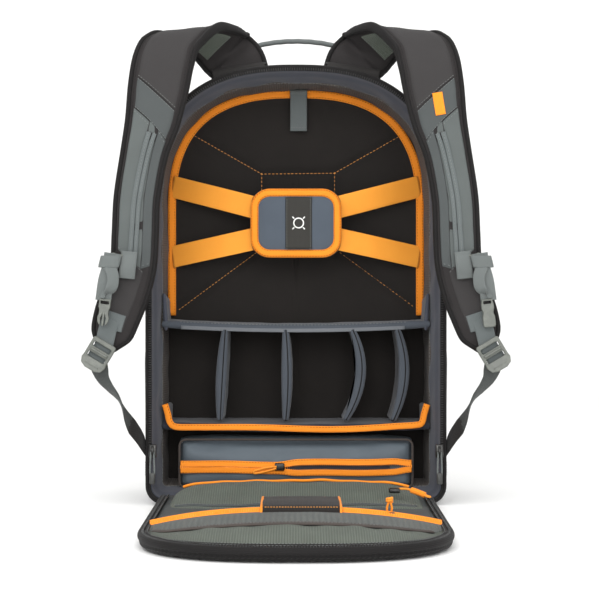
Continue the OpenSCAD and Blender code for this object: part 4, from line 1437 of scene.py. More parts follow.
@dataclass
class Pouch:
    """Soft tool pouch under the tray: swollen cloth with a zip across its face."""

    cap_mm: float = 3.2
    zip_z: float = 39.5
    closed_to: float = -22.0

    def body(self) -> None:
        """The pouch's pillow, swollen by pressure, its front opened along the zip's right half."""
        lo, hi = node_box("tool_pouch")
        mid = (lo + hi) / 2
        half_x, half_y, half_z = (hi - lo) / 2

        def place(u: Array, v: Array, h: Array) -> Array:
            return xyz(mid[0] + u, mid[1] + 1.5 + h, mid[2] + v - 1.6 * np.cos(u / half_x * 1.5) * (v > 0))

        pillow = cushion_board("pouch_pillow", half_x - 2.5, half_z - 1.6, 2 * half_y - 8, place, round_mm=9,
                               seed=70, nu=110, nv=40)
        inflate(pillow, self.cap_mm, 4.0, 4.0, 16, lambda p: ease((lo[2] + 9 - p[:, 2]) / 6))
        pts = points_of(pillow)
        front = ease((mid[1] - pts[:, 1]) / half_y)
        crease = 1.1 * ripple(pts[:, 0], pts[:, 2] * 1.8, 71, 44.0) * front
        seat = 2.2 * np.exp(-((pts[:, 2] - self.zip_z) / 8.5) ** 2) * front
        opened = ease((pts[:, 0] - self.closed_to) / 12) * ease((half_x - 10 - pts[:, 0]) / 12)
        slot = 3.5 * np.exp(-((pts[:, 2] - self.zip_z) / 4.2) ** 4) * opened * front
        pts[:, 1] += np.maximum(crease, -1.0) + seat + slot
        pts[:, 2] = np.maximum(pts[:, 2], lo[2] + 0.2)
        place_points(pillow, pts)
        dress(pillow, POUCH_CLOTH, "bag", ["tool_pouch"])
        ring = even_oval(2 * half_x - 7, 2 * half_z - 6, 7, 6, 220)
        edge = xyz(mid[0] + ring[:, 0], lo[1] + 5.5, mid[2] + ring[:, 1] * 1.02)
        dress(rope("pouch_piping", edge, 2.6, closed=True), SEAM_BROWN, "bag")

    def face_y(self) -> float:
        """Depth of the zip's plane."""
        return node_box("pouch_zip")[0][1]

    def zip(self) -> None:
        """Orange zip: two tapes that meet on the left and part on the right, each with its coil, and a dark
        strip of painted shade in the open mouth.
        """
        lo, hi = node_box("pouch_zip")
        y = self.face_y()
        x = np.linspace(lo[0] + 2, hi[0] - 2, 150)
        part = ease((x - self.closed_to) / 26) * ease((hi[0] - 2 - x) / 22)
        sag = -1.3 * np.cos(x / hi[0] * math.pi / 2) + 0.5 * np.sin(x / 17)
        for name, s in (("upper", 1), ("lower", -1)):
            z = self.zip_z + sag + s * (3.6 + 2.6 * part)
            line = xyz(x, y + 0.9 + 0.35 * np.sin(x / 11 + s), z)
            dress(sweep(f"pouch_tape_{name}", line, [0, 0.12 * s, 1], 7.0, 1.5, power=WEB_EDGE),
                  ORANGE_TAPE, "bag", ["pouch_zip"] if s > 0 else [])
            tooth = line - [0, 0.7, s * 3.0]
            dress(zip_coil(f"pouch_coil_{name}", tooth, [0, 0, 1], 2.2, 2.8, 1.5, 1.0), COIL_ORANGE, "bag")
            dress(stitches(f"pouch_tape_stitches_{name}", line + [0, -0.75, s * 2.4], [0, -1, 0], 3.2, 2.2,
                           0.5), THREAD_DARK, "bag")
        # A strip of dark tricot behind the parted tapes: painted shade inside the open mouth.
        dark = xyz(x[60:-14], y + 2.4, self.zip_z + sag[60:-14])
        dress(sweep("pouch_mouth_shade", dark, [0, 0, 1], 6.5, 1.0, power=WEB_EDGE), CELL_CLOTH, "bag")

    def slider(self) -> None:
        """Zip slider with an orange cord pull that lies to the left."""
        lo, hi = node_box("pouch_slider")
        y = self.face_y()
        dress(rounded_block("pouch_slider_body", [hi[0] - 12, y - 4.4, self.zip_z - 4.4],
                            [hi[0] - 1, y - 0.2, self.zip_z + 4.2], 1.4, 3),
              ZINC, "pouch_slider", ["pouch_slider"])
        a = np.array([hi[0] - 10, y - 4.2, self.zip_z - 0.6])
        b = np.array([lo[0] + 2.5, y - 3.4, lo[2] + 2.8])
        side = np.array([0.2, 0, 1.0])
        loop = spline([a + side, (a + b) / 2 + side * 2.2, b + side * 1.6, b - [2, 0, 0], b - side * 1.6,
                       (a + b) / 2 - side * 2.0, a - side], 60)
        dress(rope("pouch_pull_cord", loop, 2.3), ORANGE_CORD, "pouch_slider")

    def build(self) -> None:
        """Build the pouch's pieces."""
        self.body()
        self.zip()
        self.slider()
        LOG.info("pouch done")


# ---------------------------------------------------------------- harness
@dataclass
class Harness:
    """Quilted pad on four elastic straps that hold the load against the back."""

    rim_w: float = 9.0
    band_lo: float = -12.0
    band_hi: float = 18.0
    strap_w: float = 25.5
    ring_r: float = 10.0

    def pad(self) -> None:
        """The pad: an orange rim round a slate twill centre with a dark band down it."""
        lo, hi = node_box("harness_pad")
        mid = (lo + hi) / 2
        w, h = hi[0] - lo[0], hi[2] - lo[2]
        ring = even_oval(w, h, 19, 10, 200)
        levels = [(0.0, 3.6), (-0.2, 0.0), (0.2, -2.6), (1.6, -4.0), (4.2, -4.5), (self.rim_w - 1.5, -4.2),
                  (self.rim_w, -3.2), (self.rim_w + 1.6, -3.6), (self.rim_w + 8, -4.4), (30.0, -4.9),
                  (36.5, -4.9)]
        rows = []
        for inset, depth in levels:
            scale = np.array([1 - inset * 2 / w, 1 - inset * 2 / h])
            flat = ring * np.maximum(scale, 0.02)
            rows.append(xyz(mid[0] + flat[:, 0], mid[1] + depth, mid[2] + flat[:, 1]))
        core = grid_piece("pad_centre", np.array([rows[0] + [0, 0.2, 0], *rows[6:]]), wrap_v=True, caps=True)
        dress(core, PAD_CLOTH, "harness", ["harness_pad"])
        path = ring * np.array([1 - self.rim_w / w, 1 - self.rim_w / h])
        line = xyz(mid[0] + path[:, 0], mid[1], mid[2] + path[:, 1])
        t = along(line, closed=True)
        out = xyz(t[:, 2], 0, -t[:, 0])
        rim = sweep("pad_rim", line, out, self.rim_w + 0.6, 9.0, closed=True, count=20, power=2.8,
                    dent=lambda r, a: 0.18 * np.sin(r / 5.0))
        dress(rim, ORANGE_TAPE, "harness")
        for name, shift in (("outer", 3.0), ("inner", -3.2)):
            dress(stitches(f"pad_rim_stitches_{name}", line + out * shift - [0, 4.15, 0], [0, -1, 0], 3.2,
                           2.2, 0.6, closed=True), THREAD_DARK, "harness")
        self.band(mid, h)
        self.mark(mid)

    def band(self, mid: Array, h: float) -> None:
        """The dark band down the middle of the pad, sewn along both edges."""
        z = np.linspace(-h / 2 + self.rim_w + 0.5, h / 2 - self.rim_w - 0.5, 24)
        x = (self.band_lo + self.band_hi) / 2
        bow = -5.1 - 0.6 * (1 - (z / (h / 2)) ** 2)
        line = xyz(mid[0] + x, mid[1] + bow, mid[2] + z)
        dress(sweep("pad_band", line, [1, 0, 0], self.band_hi - self.band_lo, 1.2, power=TAPE_EDGE), PAD_BAND,
              "harness")
        for name, at in (("left", self.band_lo), ("right", self.band_hi)):
            edge = line + [at - x + (1.6 if at < 0 else -1.6), -0.7, 0]
            dress(stitches(f"pad_band_stitches_{name}", edge, [0, -1, 0], 3.0, 2.0, 0.5), THREAD_GREY,
                  "harness")

    def mark(self, mid: Array) -> None:
        """A plain printed ring with four ticks, in place of a maker's sign."""
        a = np.linspace(0, TAU, 48, endpoint=False)
        x = (self.band_lo + self.band_hi) / 2
        y = mid[1] - 6.45
        ring = xyz(mid[0] + x + self.ring_r * 0.55 * np.cos(a), y, mid[2] + self.ring_r * 0.55 * np.sin(a))
        dress(sweep("pad_mark_ring", ring, unit(ring - ring.mean(0)), 1.4, 0.5, closed=True), PRINT,
              "harness")
        for k in range(4):
            c, s = math.cos(TAU * (k + 0.5) / 4), math.sin(TAU * (k + 0.5) / 4)
            tick = np.linspace([mid[0] + x + c * 7.0, y, mid[2] + s * 7.0],
                               [mid[0] + x + c * self.ring_r, y, mid[2] + s * self.ring_r], 4)
            dress(sweep(f"pad_mark_tick_{k}", tick, [-s, 0, c], 1.4, 0.5), PRINT, "harness")

    def straps(self) -> None:
        """Four woven elastic straps from the side lining to the pad."""
        lo, hi = node_box("harness_pad")
        mid = (lo + hi) / 2
        pad_y = node_box("back_pad")[0][1]
        for sx, nx in ((-1, "left"), (1, "right")):
            for sz, nz in ((-1, "lower"), (1, "upper")):
                a = np.array([sx * 143.5, pad_y - 6.4, mid[2] + sz * 41 + 3])
                b = np.array([sx * ((hi[0] - lo[0]) / 2 - 12), mid[1] + 6.6, mid[2] + sz * 16])
                k = np.linspace(0, 1, 46)[:, None]
                path = a + (b - a) * k
                path[:, 1] -= 2.2 * np.sin(math.pi * k[:, 0]) - 0.5 * np.sin(3 * math.pi * k[:, 0])
                name = f"harness_strap_{nx}_{nz}"
                piece = sweep(name, path, [0.2 * sx * sz, 0, 1], self.strap_w, 2.0, count=22, power=5,
                              dent=lambda r, c: 0.25 * np.cos(c / 2.1) + 0.3 * np.sin(r / 15))
                piece.data.materials.append(ORANGE_BAND.material())
                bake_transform(piece)
                if sx < 0 and sz < 0:
                    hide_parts("harness_straps")

    def build(self) -> None:
        """Build the harness."""
        self.pad()
        self.straps()
        LOG.info("harness done")


# ---------------------------------------------------------------- door
@dataclass
class Door:
    """The padded back panel, folded down in front of the bag, inner face up.

    Its surfaces are worked out as if it stood closed, with a depth that is positive towards its
    inner face, and are then laid down about the fold.
    """

    outline: Outline = field(init=False)
    fold_z: float = 10.0
    rim_y: float = field(init=False)
    far_pocket: tuple[float, float] = (24.0, 140.0)
    near_from: float = 300.0
    pull_z: float = 24.2
    elastic: tuple[float, float] = (166.0, 274.0)
    band_end: float = 0.5

    def __post_init__(self) -> None:
        """Read the driving sizes from the frame."""
        lo, hi = node_box("door_panel")
        self.rim_y = node_box("outer_shell")[0][1]
        top = self.fold_z + self.rim_y - lo[1]
        self.outline = Outline(hi[0], top, self.fold_z + 3, 140.0, 5.0, count=360)

    def lay(self, pts: Array) -> Array:
        """Lay points of the closed door down: x, depth and height become x, -y and z."""
        return xyz(pts[..., 0], self.rim_y - (pts[..., 2] - self.fold_z), self.fold_z + pts[..., 1])

    def tip(self, x: Array, inset: float) -> Array:
        """How far the door reaches from the fold at x, for an outline set in by inset."""
        o = self.outline
        w, h = o.half_w - inset, o.dome_h - inset
        spring = o.top - o.dome_h - self.fold_z
        return spring + h * (1 - np.clip(np.abs(x) / w, 0, 1) ** o.power) ** (1 / o.power)

    def under(self, x: Array, z: Array) -> Array:
        """Shape of the outer face: two padded columns and a lumbar block between air channels."""
        u = z - self.fold_z
        column = ease((np.abs(x) - 14) / 18) * ease((132 - np.abs(x)) / 14) * ease((u - 138) / 18)
        column = column * ease((self.tip(x, 10) - 12 - u) / 26)
        lumbar = ease((125 - u) / 16) * ease((u - 14) / 14) * ease((134 - np.abs(x)) / 16)
        return -2.9 * np.maximum(column, lumbar) + 0.4 * ripple(x, u, 61, 48.0) * (column < 0.02)

    def pads(self) -> None:
        """The outer face with its pads, and the rolled rim round it."""
        face = self.outline.disc(4.0, 64, self.under, -6.9)
        inner = self.outline.disc(4.0, 6, lambda x, z: 0 * x, 0.4)
        turn = np.linspace(-math.pi / 2, math.pi / 2, 9)
        roll = self.outline.surface(2.2 - 2.4 * np.cos(turn), -3.4 + 4.4 * np.sin(turn)).transpose(1, 0, 2)
        pts = self.lay(np.concatenate([face[::-1], roll, inner]))
        piece = grid_piece("door_cover", pts, wrap_v=True, caps=True)
        dress(piece, MESH_BLACK, "door", ["door_pads", "door_panel"])
        seam = self.lay(self.outline.path(5.0, -6.9))
        dress(stitches("door_cover_stitches", seam, [0, 0, -1], 4.0, 2.8, 0.6, closed=True), THREAD_GREY,
              "door")

    def rim(self) -> None:
        """Black binding, zip tape and coil round the door's edge, with its wall under the tip."""
        whole = self.outline
        pick = whole.above(self.fold_z + 26)
        out = self.turned(whole.out(pick))
        edge = self.lay(whole.path(1.6, 0.6, pick))
        dress(sweep("door_edge_binding", edge, out, 6.6, 7.6, count=18, power=ROLL_EDGE), BINDING, "door")
        tape = self.lay(whole.path(5.0, 2.8, pick))
        tilt = unit(out * 0.9 - np.array([0, 0, 0.45]))
        dress(sweep("door_zip_tape", tape, tilt, 9.0, 1.5, power=WEB_EDGE,
                    dent=lambda r, a: 0.2 * np.sin(r / 8)), BINDING, "door",
              ["door_zip_track"])
        dress(zip_coil("door_zip_coil", self.lay(whole.path(2.2, 3.6, pick)), tilt), COIL, "door")
        dress(stitches("door_tape_stitches", self.lay(whole.path(8.0, 4.9, pick)), [0, 0, 1], 3.4, 2.4, 0.5),
              THREAD_GREY, "door")

    @staticmethod
    def turned(v: Array) -> Array:
        """Directions of the closed door, laid down with it."""
        return xyz(v[:, 0], -v[:, 2], v[:, 1])

    def liner(self) -> None:
        """Grey liner on the inner face, slack over the foam."""
        near = self.outline.disc(7.5, 40, lambda x, z: 0.9 + 0.5 * ripple(x, z, 67, 55.0), 1.0)
        far = self.outline.disc(7.5, 2, lambda x, z: 0 * x, -0.6)
        pts = self.lay(np.concatenate([near[::-1], far]))
        piece = grid_piece("door_liner", pts, wrap_v=True, caps=True)
        dress(piece, LINER, "door")

    def skin(self, name: str, x: Array, u: Array, h: Array, finish: Cloth, slot: str, floor: float = 10.6,
             replaces: Sequence[str] = ()) -> Piece:
        """A sewn-down cloth over the liner: a closed shell from a top surface down to a floor.

        Args:
            name: the object's name.
            x: places across, shaped (n, m).
            u: distances from the fold, shaped (n, m).
            h: heights over the ground, shaped (n, m).
            finish: the cloth.
            slot: not used.
            floor: height of the hidden underside.
            replaces: CAD nodes that it stands for.

        Returns:
            The new piece.
        """
        top = xyz(x, self.rim_y - u, h)
        low = xyz(x, self.rim_y - u, floor)
        piece = grid_piece(name, np.concatenate([top, low[:, ::-1]], axis=1), wrap_v=True, caps=True)
        return dress(piece, finish, "door", replaces)

    def far_mesh(self) -> None:
        """The mesh pocket near the fold: a hump with a bound mouth towards the bag."""
        hi = node_box("far_mesh_pocket")[1]
        w = np.linspace(-1, 1, 110)[:, None]
        v = np.linspace(0, 1, 40)[None]
        u0, u1 = self.far_pocket
        x = hi[0] * w + 0 * v
        u = u0 + (u1 - u0) * v - 5 * (1 - w**2) * (1 - v)
        side = (1 - np.abs(w) ** 5) ** 0.6
        swell = np.where(v < 0.2, ease(v / 0.2) * 0.35 + 0.65, 1 - 0.94 * ease((v - 0.2) / 0.8) ** 0.9)
        h = 11.6 + (hi[2] - 12.0) * swell * side + 1.0 * ripple(x, u, 73, 52.0) * side
        self.skin("far_pocket_mesh", x, u, np.maximum(h, 11.2), MESH_GREY, "mesh_grey",
                  replaces=["far_mesh_pocket"])
        mouth = xyz(x[:, 0], self.rim_y - u[:, 0], h[:, 0] + 0.8)
        dress(sweep("far_pocket_hem", mouth[4:-4], [0, 0.5, 1], 9, 2.6, power=3), LINER, "door")
        dress(rope("far_pocket_hem_cord", mouth[4:-4] + [0, -0.5, 4.2], 3.0), ORANGE_TAPE, "door")
        seam = xyz(x[:, -6], self.rim_y - u[:, -6], h[:, -6] + 0.5)
        dress(sweep("far_pocket_seam", seam[3:-3], [0, 1, 0.15], 7, 1.8, power=3), LINER, "door")
        dress(stitches("far_pocket_stitches", seam[3:-3] + [0, 0, 1.0], [0, 0, 1], 3.6, 2.5, 0.6),
              THREAD_GREY, "door")

    def near_top(self, x: Array, v: Array) -> Array:
        """Height of the near pocket at x and at a share v of its way to the rim."""
        mouth = 14.0 + 13.6 * (1 - np.clip(np.abs(x) / 143, 0, 1) ** 2.4)
        seam = 13.4 + 11.4 * (1 - np.clip(np.abs(x) / 128, 0, 1) ** 2.2)
        k, m = ease(v / self.band_end), np.clip((v - self.band_end) / (1 - self.band_end), 0, 1)
        side = 1 - np.clip(np.abs(x) / 143, 0, 1) ** 4
        crest = mouth + (seam - mouth) * k + 1.3 * side * np.sin(math.pi * np.clip(v / self.band_end, 0, 1))
        return crest + (12.8 - seam) * m**1.25 + 1.2 * side * np.sin(math.pi * m)

    def near_mesh(self) -> None:
        """The zipped mesh pocket at the far end of the door: ribbed band, seam, zigzag mesh."""
        u0 = self.near_from
        x = np.linspace(-141, 141, 150)[:, None]
        end = self.tip(x, 6.0)
        for name, a, b, finish in (("near_pocket_band", 0.0, self.band_end, MESH_RIB),
                                   ("near_pocket_mesh", self.band_end, 1.0, MESH_GREY)):
            v = np.linspace(a, b, 26)[None]
            u = u0 + (end - u0) * v
            folds = 0.9 * ripple(x + 0 * v, u, 79, 42.0) * np.sin(math.pi * np.clip(v, 0, 1))
            h = self.near_top(x + 0 * v, v) + folds - (0.4 if a else 0)
            self.skin(name, x + 0 * v, u, np.maximum(h, 11.2), finish, "mesh_grey",
                      replaces=["near_mesh_pocket"] if a == 0 else [])
        xs = x[4:-4, 0]
        for name, share, width, finish in (("near_pocket_seam", self.band_end, 7.5, SEAM_BROWN),
                                           ("near_pocket_edge", 0.965, 5.0, BINDING)):
            u = u0 + (self.tip(xs, 6.0) - u0) * share
            line = xyz(xs, self.rim_y - u, self.near_top(xs, share + 0 * xs) + 0.9)
            path = spline(line[::6], 150)
            t = along(path)
            side = unit(np.cross(t, [0, 0, 1]) + [0, 0, -0.25])
            dress(sweep(name, path, side, width, 2.0, power=3), finish, "door")
            dress(stitches(name + "_stitches", path + [0, 0, 1.1], [0, 0, 1], 3.2, 2.3, 0.55), THREAD_GREY,
                  "door")
        self.near_zip()

    def near_zip(self) -> None:
        """Orange zip of the near pocket along its mouth, and its slider with a knotted pull."""
        x = np.linspace(-140, 140, 150)
        u = self.near_from - 1.0
        h = self.near_top(x, 0 * x)
        line = xyz(x, self.rim_y - u, h + 0.4)
        wave = xyz(0, 0.8 * np.sin(x / 19), 0)
        dress(sweep("near_zip_tape", line + wave, [0, 0.75, 0.6], 11.5, 1.7, power=WEB_EDGE), ORANGE_TAPE,
              "door", ["near_pocket_zip"])
        dress(zip_coil("near_zip_coil", line + wave + [0, 0.6, 1.2], [0, 0.8, 0.6], 2.3, 4.2), COIL_ORANGE,
              "door")
        wall = xyz(x, self.rim_y - u + 1.6, (h + 11) / 2 - 1.0)
        dress(sweep("near_pocket_wall", wall, [0, 0, 1], np.maximum(h - 12, 1.2), 1.6, power=TAPE_EDGE),
              LINER, "door")
        slo, shi = node_box("near_pocket_slider")
        mid = (slo + shi) / 2
        top = float(np.interp(mid[0], x, h))
        y = self.rim_y - u
        dress(rounded_block("near_slider_body", [mid[0] - 5.5, y + 0.5, top - 1.5],
                            [mid[0] + 5.5, y + 8.0, top + 3.4], 1.4, 3),
              ZINC, "near_pocket_slider", ["near_pocket_slider"])
        knot = np.array([mid[0], y + 3, shi[2] - 4])
        loop = spline([[mid[0] - 1.5, y + 6, top + 2.5], [mid[0] - 2.4, y + 4, top + 7],
                       knot - [1.2, 0, 3], knot, knot + [1.2, 0, -3], [mid[0] + 2.4, y + 4, top + 7],
                       [mid[0] + 1.5, y + 6, top + 2.5]], 50)
        dress(rope("near_slider_cord", loop, 2.2), ORANGE_CORD, "near_pocket_slider")
        a = np.linspace(0, TAU * 2, 60)
        wrap = xyz(knot[0] + 2.3 * np.cos(a), knot[1] + 2.3 * np.sin(a), knot[2] - 1.6 + 2.4 * a / TAU / 1.3)
        dress(rope("near_slider_knot", wrap, 3.0), ORANGE_CORD, "near_pocket_slider")

    def far_pull(self) -> None:
        """A small slider by the far pocket with an orange cord pull that lies on the door."""
        lo, hi = node_box("far_pocket_pull")
        x, y, z = lo[0] + 0.5, hi[1] - 0.5, self.pull_z
        block = rounded_block("far_pull_slider", [x, y - 9.0, z], [x + 12.0, y, z + 5.2], 1.6, 3)
        dress(block, ZINC, "far_pocket_pull", ["far_pocket_pull"])
        start = np.array([x + 9.5, y - 4.5, z + 4.0])
        a = np.array([[0, 0, 0], [9, -4, 0.6], [22, -11, -2.6], [30, -16, -6.0], [33.4, -14.5, -6.6],
                      [31, -11.6, -6.0], [21, -6.5, -2.6], [9, -1.0, 0.6], [0, 1.5, 0]])
        dress(rope("far_pull_cord", spline(start + a, 70), 2.4), ORANGE_CORD, "far_pocket_pull")
        grip = spline(start + np.array([[14, -5.2, -0.4], [21, -8.8, -2.5], [28, -12.8, -5.0]]), 20)
        dress(rope("far_pull_grip", grip, 6.4, count=14), ORANGE_TAPE, "far_pocket_pull")

    def loop(self) -> None:
        """Wide black elastic over the middle of the door, edged with orange overlock."""
        lo, hi = node_box("elastic_loop")
        mid_x = (lo[0] + hi[0]) / 2
        u0, u1 = self.elastic
        cut = spline([[u0 + 2, 12.0], [u0 + 12, 21.5], [u0 + 30, 29.5], [u0 + 70, 32.0], [u1 + 8, 32.2],
                      [u1 + 22, 31.6], [u1 + 30, 28.6], [u1 + 32, 25.0]], 70)
        line = xyz(mid_x, self.rim_y - cut[:, 0], cut[:, 1])
        wide = hi[0] - lo[0] - 1.5
        dress(sweep("elastic_band", line, [1, 0, 0], wide, 2.2, count=28, power=TAPE_EDGE,
                    dent=lambda r, a: 0.5 * np.cos(a / 3.2) * 0.4 + 0.4 * np.sin(r / 14)),
              ELASTIC_BLACK, "door", ["elastic_loop"])
        for name, s in SIDES:
            edge = line + [s * wide / 2, 0, 0.2]
            dress(rope(f"elastic_piping_{name}", edge, 2.6), ORANGE_TAPE, "door")
        for name, at in (("far", 5), ("near", -5)):
            bar = np.linspace(line[at] - [wide / 2 - 4, 0, -1.2], line[at] + [wide / 2 - 4, 0, 1.2], 40)
            dress(stitches(f"elastic_tack_{name}", bar, [0, 0, 1], 2.6, 2.0, 0.8), THREAD_ORANGE, "door")

    def fold(self) -> None:
        """The gusset of shell cloth that hinges the door to the bag's foot."""
        w = 146.0
        x = np.linspace(-w, w, 80)
        path = xyz(x, self.rim_y + 0.6, self.fold_z - 1.4)
        piece = sweep("door_hinge_cloth", path, [0, 1, -0.12], 15.0, 2.4, count=22, power=WEB_EDGE,
                      dent=lambda r, a: 0.25 * np.sin(r / 11) + 0.3 * np.cos(a / 2))
        piece.data.materials.append(SHELL.material())
        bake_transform(piece)

    def build(self) -> None:
        """Build the door's pieces in order."""
        for step in (self.pads, self.rim, self.liner, self.far_mesh, self.near_mesh, self.far_pull, self.loop,
                     self.fold):
            step()
            LOG.info("door: %s", step.__name__)


# ---------------------------------------------------------------- shoulder straps
def twin(piece: Piece, name: str) -> Piece:
    """A mirror copy of a piece on the other side of the bag."""
    mesh = piece.data.copy()
    mesh.materials.clear()
    mesh.flip_normals()
    other = linked(name, mesh)
    place_points(other, points_of(other) * [-1, 1, 1])
    return other


@dataclass
class Strap:
    """A padded shoulder strap with its webbing and buckles. The right one mirrors the left one."""

    route: Array = field(init=False)
    side: Array = field(init=False)
    width: Array = field(init=False)
    thick: float = 11.0
    up: Array = field(init=False)
    samples: int = 260
    binding_w: float = 5.6

    def __post_init__(self) -> None:
        """Work out the strap's centre line, its width direction and its width."""
        root = np.array([-64.0, -60.0, 488.6])
        points = np.array([root + [2, 0, -9], root + [-3, 1, 6.5], [-78, -56, 506], [-92, -68, 518],
                           [-108, -90, 523], [-124, -115, 519], [-137, -136, 506], [-144, -147, 486],
                           [-149, -150, 458], [-155, -150, 424], [-164, -150, 388], [-172, -150, 340],
                           [-174, -150, 300], [-176, -150, 268], [-183.5, -150, 239], [-193, -150, 213],
                           [-200, -150, 190], [-203, -150, 174]])
        wide = np.array([60, 60, 60, 61, 62, 62, 61, 62, 61, 55, 47, 45.5, 46, 46, 47, 46, 40, 26.0])
        out = np.array([[-0.97, 0, -0.25]] * 3 + [[-1, 0.12, -0.2]] * 2 + [[-1, 0, -0.08]] * 2
                       + [[-1, 0, 0]] * 6 + [[-1, 0, 0.3]] * 5)
        rows = spline(np.hstack([points, out, wide[:, None]]), self.samples)
        self.route, self.side, self.width = rows[:, :3], rows[:, 3:6], rows[:, 6]
        t = along(self.route)
        self.side = unit(self.side - t * (self.side * t).sum(1, keepdims=True))
        self.up = np.cross(t, self.side)

    def share(self, z: Array | float) -> Array:
        """How far along the strap its falling part passes the height z, from 0 to 1."""
        top = int(np.argmax(self.route[:, 2]))
        falling = self.route[top:, 2][::-1]
        where = np.linspace(top / (self.samples - 1), 1, self.samples - top)[::-1]
        return np.interp(z, falling, where)

    def at(self, f: Array, w: Array, lift: Array | float) -> Array:
        """Points of the strap.

        Args:
            f: share along the strap, 0 to 1.
            w: share across it, -1 at the bag's side to 1 at the outside.
            lift: height over its middle surface, positive towards the outside of the loop.

        Returns:
            Points with the shape of f and w.
        """
        k = np.linspace(0, 1, self.samples)

        def read(rows: Array) -> Array:
            return np.stack([np.interp(f, k, rows[:, c]) for c in range(rows.shape[1])], -1)

        half = np.interp(f, k, self.width)[..., None] / 2
        across = read(self.side) * w[..., None] * half
        return read(self.route) + across - read(self.up) * np.asarray(lift)[..., None]

    def put(self, piece: Piece, finish: Cloth | Moulded, body: str,
            replaces: Sequence[str] = ()) -> list[Piece]:
        """Dress a piece on the left strap and its mirror copy on the right one."""
        other = twin(piece, piece.name.replace("_left", "_right"))
        dress(piece, finish, body + "_left", [n + "_left" for n in replaces])
        dress(other, finish, body + "_right", [n + "_right" for n in replaces])
        return [piece, other]

    def pad(self) -> None:
        """The strap's foam body, a lens that thins towards its bound edges, and the bindings."""
        k = np.linspace(0, 1, 210)
        a = np.linspace(0, TAU, 40, endpoint=False)
        w = np.cos(a)
        shape = np.sign(np.sin(a)) * np.abs(np.sin(a)) ** 0.55
        grid_k, grid_w = np.meshgrid(k, w * 0.97, indexing="ij")
        ends = np.minimum(1, np.minimum(k * 60 + 0.4, (1 - k) * 26 + 0.25))[:, None] ** 0.5
        round_end = np.sqrt(np.clip(1 - (np.clip((k - 0.965) / 0.037, 0, 1)) ** 2, 0.04, 1))[:, None]
        lift = shape[None] * self.thick / 2 * ends * (1 + 0.05 * np.sin(grid_k * 90))
        body = grid_piece("strap_body_left", self.at(grid_k, grid_w * round_end, lift), wrap_v=True,
                          caps=True)
        for piece in self.put(body, STRAP_DARK, "strap", ["strap"]):
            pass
        f = np.linspace(0, 0.982, 190)
        taper = np.sqrt(np.clip(1 - np.clip((f - 0.955) / 0.045, 0, 1) ** 2, 0.05, 1))
        outer = self.at(f, taper, 0 * f)
        inner = self.at(f, -taper, 0 * f)
        tip = spline(np.vstack([outer[-1:], self.at(np.array([1.0]), np.array([0.0]), 0.0) - [0, 0, 1.0],
                                inner[-1:]]), 16)[1:-1]
        path = resample(np.vstack([outer, tip, inner[::-1]]), 420)
        side_dir = np.cross(along(path), self.read_up(path))
        self.put(sweep("strap_binding_left", path, side_dir, self.binding_w, 10.6, count=14, power=2.4,
                       dent=lambda r, c: 0.12 * np.sin(r / 4)), BINDING, "strap")
        for name, s in (("outer", 1), ("inner", -1)):
            row = f[18:170]
            for face, lift in (("front", 1), ("back", -1)):
                half = np.interp(row, np.linspace(0, 1, self.samples), self.width) / 2
                seam = self.at(row, s * (1 - 4.6 / half), lift * (self.thick * 0.41) + 0 * row)
                n = -lift * self.read_up(seam)
                self.put(stitches(f"strap_stitches_{name}_{face}_left", seam, n, 3.6, 2.5, 0.55),
                         THREAD_BLACK, "strap")

    def read_up(self, path: Array) -> Array:
        """The strap's normal at the sample nearest to each point of a path."""
        far = np.linalg.norm(path[:, None] - self.route[None, ::4], axis=2)
        return self.up[::4][far.argmin(1)]

    def panel(self, name: str, f0: tuple[float, float], f1: tuple[float, float], w0: float, w1: float,
              finish: Cloth, lift: float = 0.9, front: int = 1, seams: bool = True) -> None:
        """A cloth panel sewn onto one face, with slanting ends and edges that dive into the seam.

        Args:
            name: the object's name, ending in _left.
            f0: share along the strap where it starts, at w0 and at w1.
            f1: share along the strap where it ends, at w0 and at w1.
            w0: share across at one long edge.
            w1: share across at the other long edge.
            finish: the cloth.
            lift: how far it stands over the foam.
            front: 1 for the outer face, -1 for the inner face.
            seams: whether its two ends are stitched.
        """
        g = np.linspace(0, 1, 70)[:, None]
        v = np.linspace(0, 1, 18)[None]
        w = w0 + (w1 - w0) * v + 0 * g
        start = f0[0] + (f0[1] - f0[0]) * v
        end = f1[0] + (f1[1] - f1[0]) * v
        f = start + (end - start) * g
        edge = np.clip(np.minimum(np.minimum(g, 1 - g) * 30, np.minimum(v, 1 - v) * 9), 0, 1)
        foam = self.thick / 2 * (1 - np.abs(w) ** 2.2 * 0.35)
        k = np.linspace(0, 1, self.samples)
        run = f * run_length(self.route)
        half = np.interp(f, k, self.width) / 2
        slack = 0.22 * ripple(run, w * half, 83, 34.0) * edge
        height = foam + (lift + 1.2) * np.sqrt(1 - (1 - edge) ** 2) - 1.2 + slack
        top = self.at(f, w, front * height)
        low = self.at(f, w, front * (foam - 2.2))
        piece = grid_piece(name, np.concatenate([top, low[:, ::-1]], axis=1), wrap_v=True, caps=True)
        self.put(piece, finish, "strap")
        if seams:
            for end_name, row in (("start", 2), ("end", -3)):
                line = top[row]
                n = -front * self.read_up(line)
                self.put(stitches(name.replace("_left", f"_{end_name}_left"), resample(line, 30), n[0],
                                  3.2, 2.3, 0.5), THREAD_GREY, "strap")

